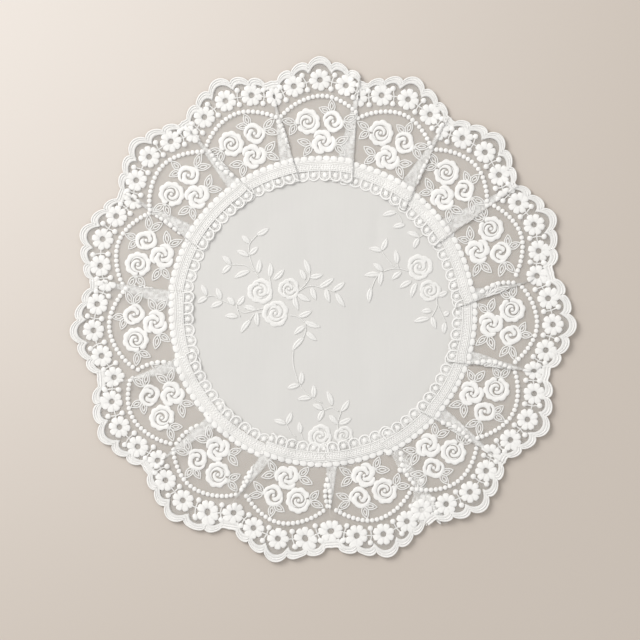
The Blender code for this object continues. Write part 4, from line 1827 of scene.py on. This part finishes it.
@dataclass
class Embroidery:
    """White-on-white sprays on the centre cloth."""

    ground: CentreCloth
    thread: bpy.types.Material
    leaf_half: float = 1.75
    leaf_height: float = 0.62
    leaf_step: float = 0.55
    leaf_bow: float = 0.04        # how far it bends aside, as a share of its length
    leaf_part: tuple[float, float] = (0.04, 0.98)
    leaf_belly: float = 0.9       # below 1 it is widest nearer its point
    leaf_fullness: float = 0.8    # below 1 its sides are rounder
    leaf_foot: float = 0.45       # share of its height that its ends keep
    leaf_slant: float = 0.9
    stem_half: float = 0.26
    stem_height: float = 0.42
    rose_radius: float = 7.0      # the size that a rose is drawn in
    first_turn: float = 35.0
    rose_turn: float = 110.0
    spray_turn: float = 60.0

    def leaf(self, root: Place, tip: Place) -> Patch:
        """A satin leaf with a sunk vein, its stitches leaning towards its tip.

        Args:
            root: Where it joins its stem.
            tip: Its point.

        Returns:
            The leaf.
        """
        path = line((root, tip), self.leaf_step)
        share = np.linspace(0.0, 1.0, len(path))
        bow = np.array((tip[1] - root[1], root[0] - tip[0])) * self.leaf_bow
        path = path + np.outer(np.sin(math.pi * share), bow)
        first, last = self.leaf_part
        part = first + (last - first) * share
        swell = np.sin(math.pi * part ** self.leaf_belly) ** self.leaf_fullness
        tall = self.leaf_height * (self.leaf_foot + (1.0 - self.leaf_foot) * swell)
        return ribbon(path, self.leaf_half * swell, tall, Profile.VEINED, slant=self.leaf_slant)

    def rose(self, x: float, y: float, radius: float, turn: float) -> Patch:
        """A rose of curled petals.

        Args:
            x: Middle.
            y: Middle.
            radius: Its size.
            turn: How far it is turned, in degrees anticlockwise.

        Returns:
            The rose.
        """
        petals = joined([
            *(crescent(start, 170, (3.4, 4.4, 4.9, 5.1), (4.6, 6.9, 7.2, 5.9), 0.45, 4, 0.7)
              for start in (60, 185, 300)),
            *(crescent(start, 235, (1.1, 1.3, 2.3, 3.3), (1.9, 3.4, 4.3, 4.0), 0.4, 3, 0.3)
              for start in (20, 200)),
            dome(0.0, 0.0, 1.8, 2.1, 0.5, 40)])
        growth = radius / self.rose_radius
        grown = Patch(petals.co * (growth, growth, 1.0), petals.faces, petals.lay)
        return grown.turned_by(math.radians(turn)).moved(x, y)

    def build(self) -> bpy.types.Object:
        """Make all the sprays as one piece that follows the cloth.

        Returns:
            The piece.
        """
        shapes = []
        for number, spray in enumerate(SPRAYS):
            turn = self.first_turn + self.spray_turn * number
            shapes += [self.rose(x, y, radius, turn + self.rose_turn * index)
                       for index, (x, y, radius) in enumerate(spray.roses)]
            shapes += [ribbon(line(stem), self.stem_half, self.stem_height, Profile.THREAD)
                       for stem in spray.stems]
            shapes += [self.leaf(root, tip) for root, tip in spray.leaves]
        whole = joined(shapes)
        whole.co[:, 2] += self.ground.height(whole.co[:, 0], whole.co[:, 1])
        placed = Patch(whole.co * MM, whole.faces, whole.lay)
        piece = shown(bpy.data.objects.new("centre_embroidery", mesh_of("centre_embroidery", placed)))
        piece.data.materials.append(self.thread)
        return piece


# ---------------------------------------------------------------------------------------------
# Table, light and camera
# ---------------------------------------------------------------------------------------------


@dataclass
class Studio:
    """A pale table, soft daylight from the upper left and a camera straight above."""

    table: bpy.types.Material
    reach: float = 1.6
    view: float = 0.3795            # width of the table in view
    distance: float = 1.7
    aim: Place = (-0.0012, -0.0044)
    sensor: float = 36.0
    lamp_place: tuple[float, float, float] = (-1.35, 1.15, 1.35)
    lamp_size: float = 1.3
    lamp_power: float = 34.0
    lamp_colour: Colour = (1.0, 0.985, 0.96)
    ambient: float = 0.69
    ambient_colour: Colour = (1.0, 0.99, 0.975)

    def floor(self) -> None:
        """Lay the table."""
        reach = self.reach
        corners = [(-reach, -reach, 0.0), (reach, -reach, 0.0), (reach, reach, 0.0), (-reach, reach, 0.0)]
        mesh = bpy.data.meshes.new("table")
        mesh.from_pydata(corners, [], [(0, 1, 2, 3)])
        mesh.materials.append(self.table)
        table = shown(bpy.data.objects.new("table", mesh))

    def lights(self) -> None:
        """Hang one large soft lamp, and light the room from all round."""
        lamp = bpy.data.lights.new("window", "AREA")
        lamp.shape, lamp.size, lamp.energy = "DISK", self.lamp_size, self.lamp_power
        lamp.color = self.lamp_colour
        window = shown(bpy.data.objects.new("window", lamp))
        window.location = self.lamp_place
        window.rotation_euler = (-Vector(self.lamp_place)).to_track_quat("-Z", "Y").to_euler()
        world = bpy.data.worlds.new("room")
        world.use_nodes = True
        sky = next(node for node in world.node_tree.nodes if node.type == "BACKGROUND")
        sky.inputs["Color"].default_value = (*self.ambient_colour, 1.0)
        sky.inputs["Strength"].default_value = self.ambient
        bpy.context.scene.world = world
        bpy.context.scene.view_settings.view_transform = "Standard"

    def camera(self) -> None:
        """Put a long lens straight above."""
        lens = bpy.data.cameras.new("camera")
        lens.sensor_width = self.sensor
        lens.lens = self.sensor * self.distance / self.view
        eye = shown(bpy.data.objects.new("camera", lens))
        eye.location = (*self.aim, self.distance)
        bpy.context.scene.camera = eye


# ---------------------------------------------------------------------------------------------
# All together
# ---------------------------------------------------------------------------------------------


def dress(pieces: list[bpy.types.Object], node: str) -> None:
    """Attach each piece to the root body, hide the solid that it stands for, and log its faces.

    Args:
        pieces: The pieces.
        node: The solid that they stand for.
    """
    for piece in pieces:
        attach(piece, "root")
        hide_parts(node)
        LOG.info("%s: %d faces", piece.name, len(piece.data.polygons))


def main() -> None:
    logging.basicConfig(level=logging.INFO)
    satin = Thread("lace_thread", (0.94, 0.932, 0.916)).build()
    floss = Thread("embroidery_floss", (0.885, 0.877, 0.86), pitch=0.38).build()
    # the net's single-layer colour is greyed as painted shade
    tulle = Tulle("lace_tulle", (0.65, 0.634, 0.61)).build()
    voile = Voile("centre_voile", (0.775, 0.765, 0.745)).build()
    studio = Studio(TableTop().build())
    studio.floor()
    studio.lights()
    studio.camera()

    strip = Strip(StripSizes())
    net = Net(strip, tulle)
    laid = [kind(strip, satin).build() for kind in (Roses, Leaves, Beads, Flowers, Ties, Scallops, Heading)]
    ground = net.build()
    dress([ground, *laid], "lace_edging")
    cloth = CentreCloth(voile)
    centre, sprays = cloth.build(), Embroidery(cloth, floss).build()
    dress([centre, sprays], "centre_cloth")

    flat = net.repeated()[0]


if __name__ == "__main__":
    main()
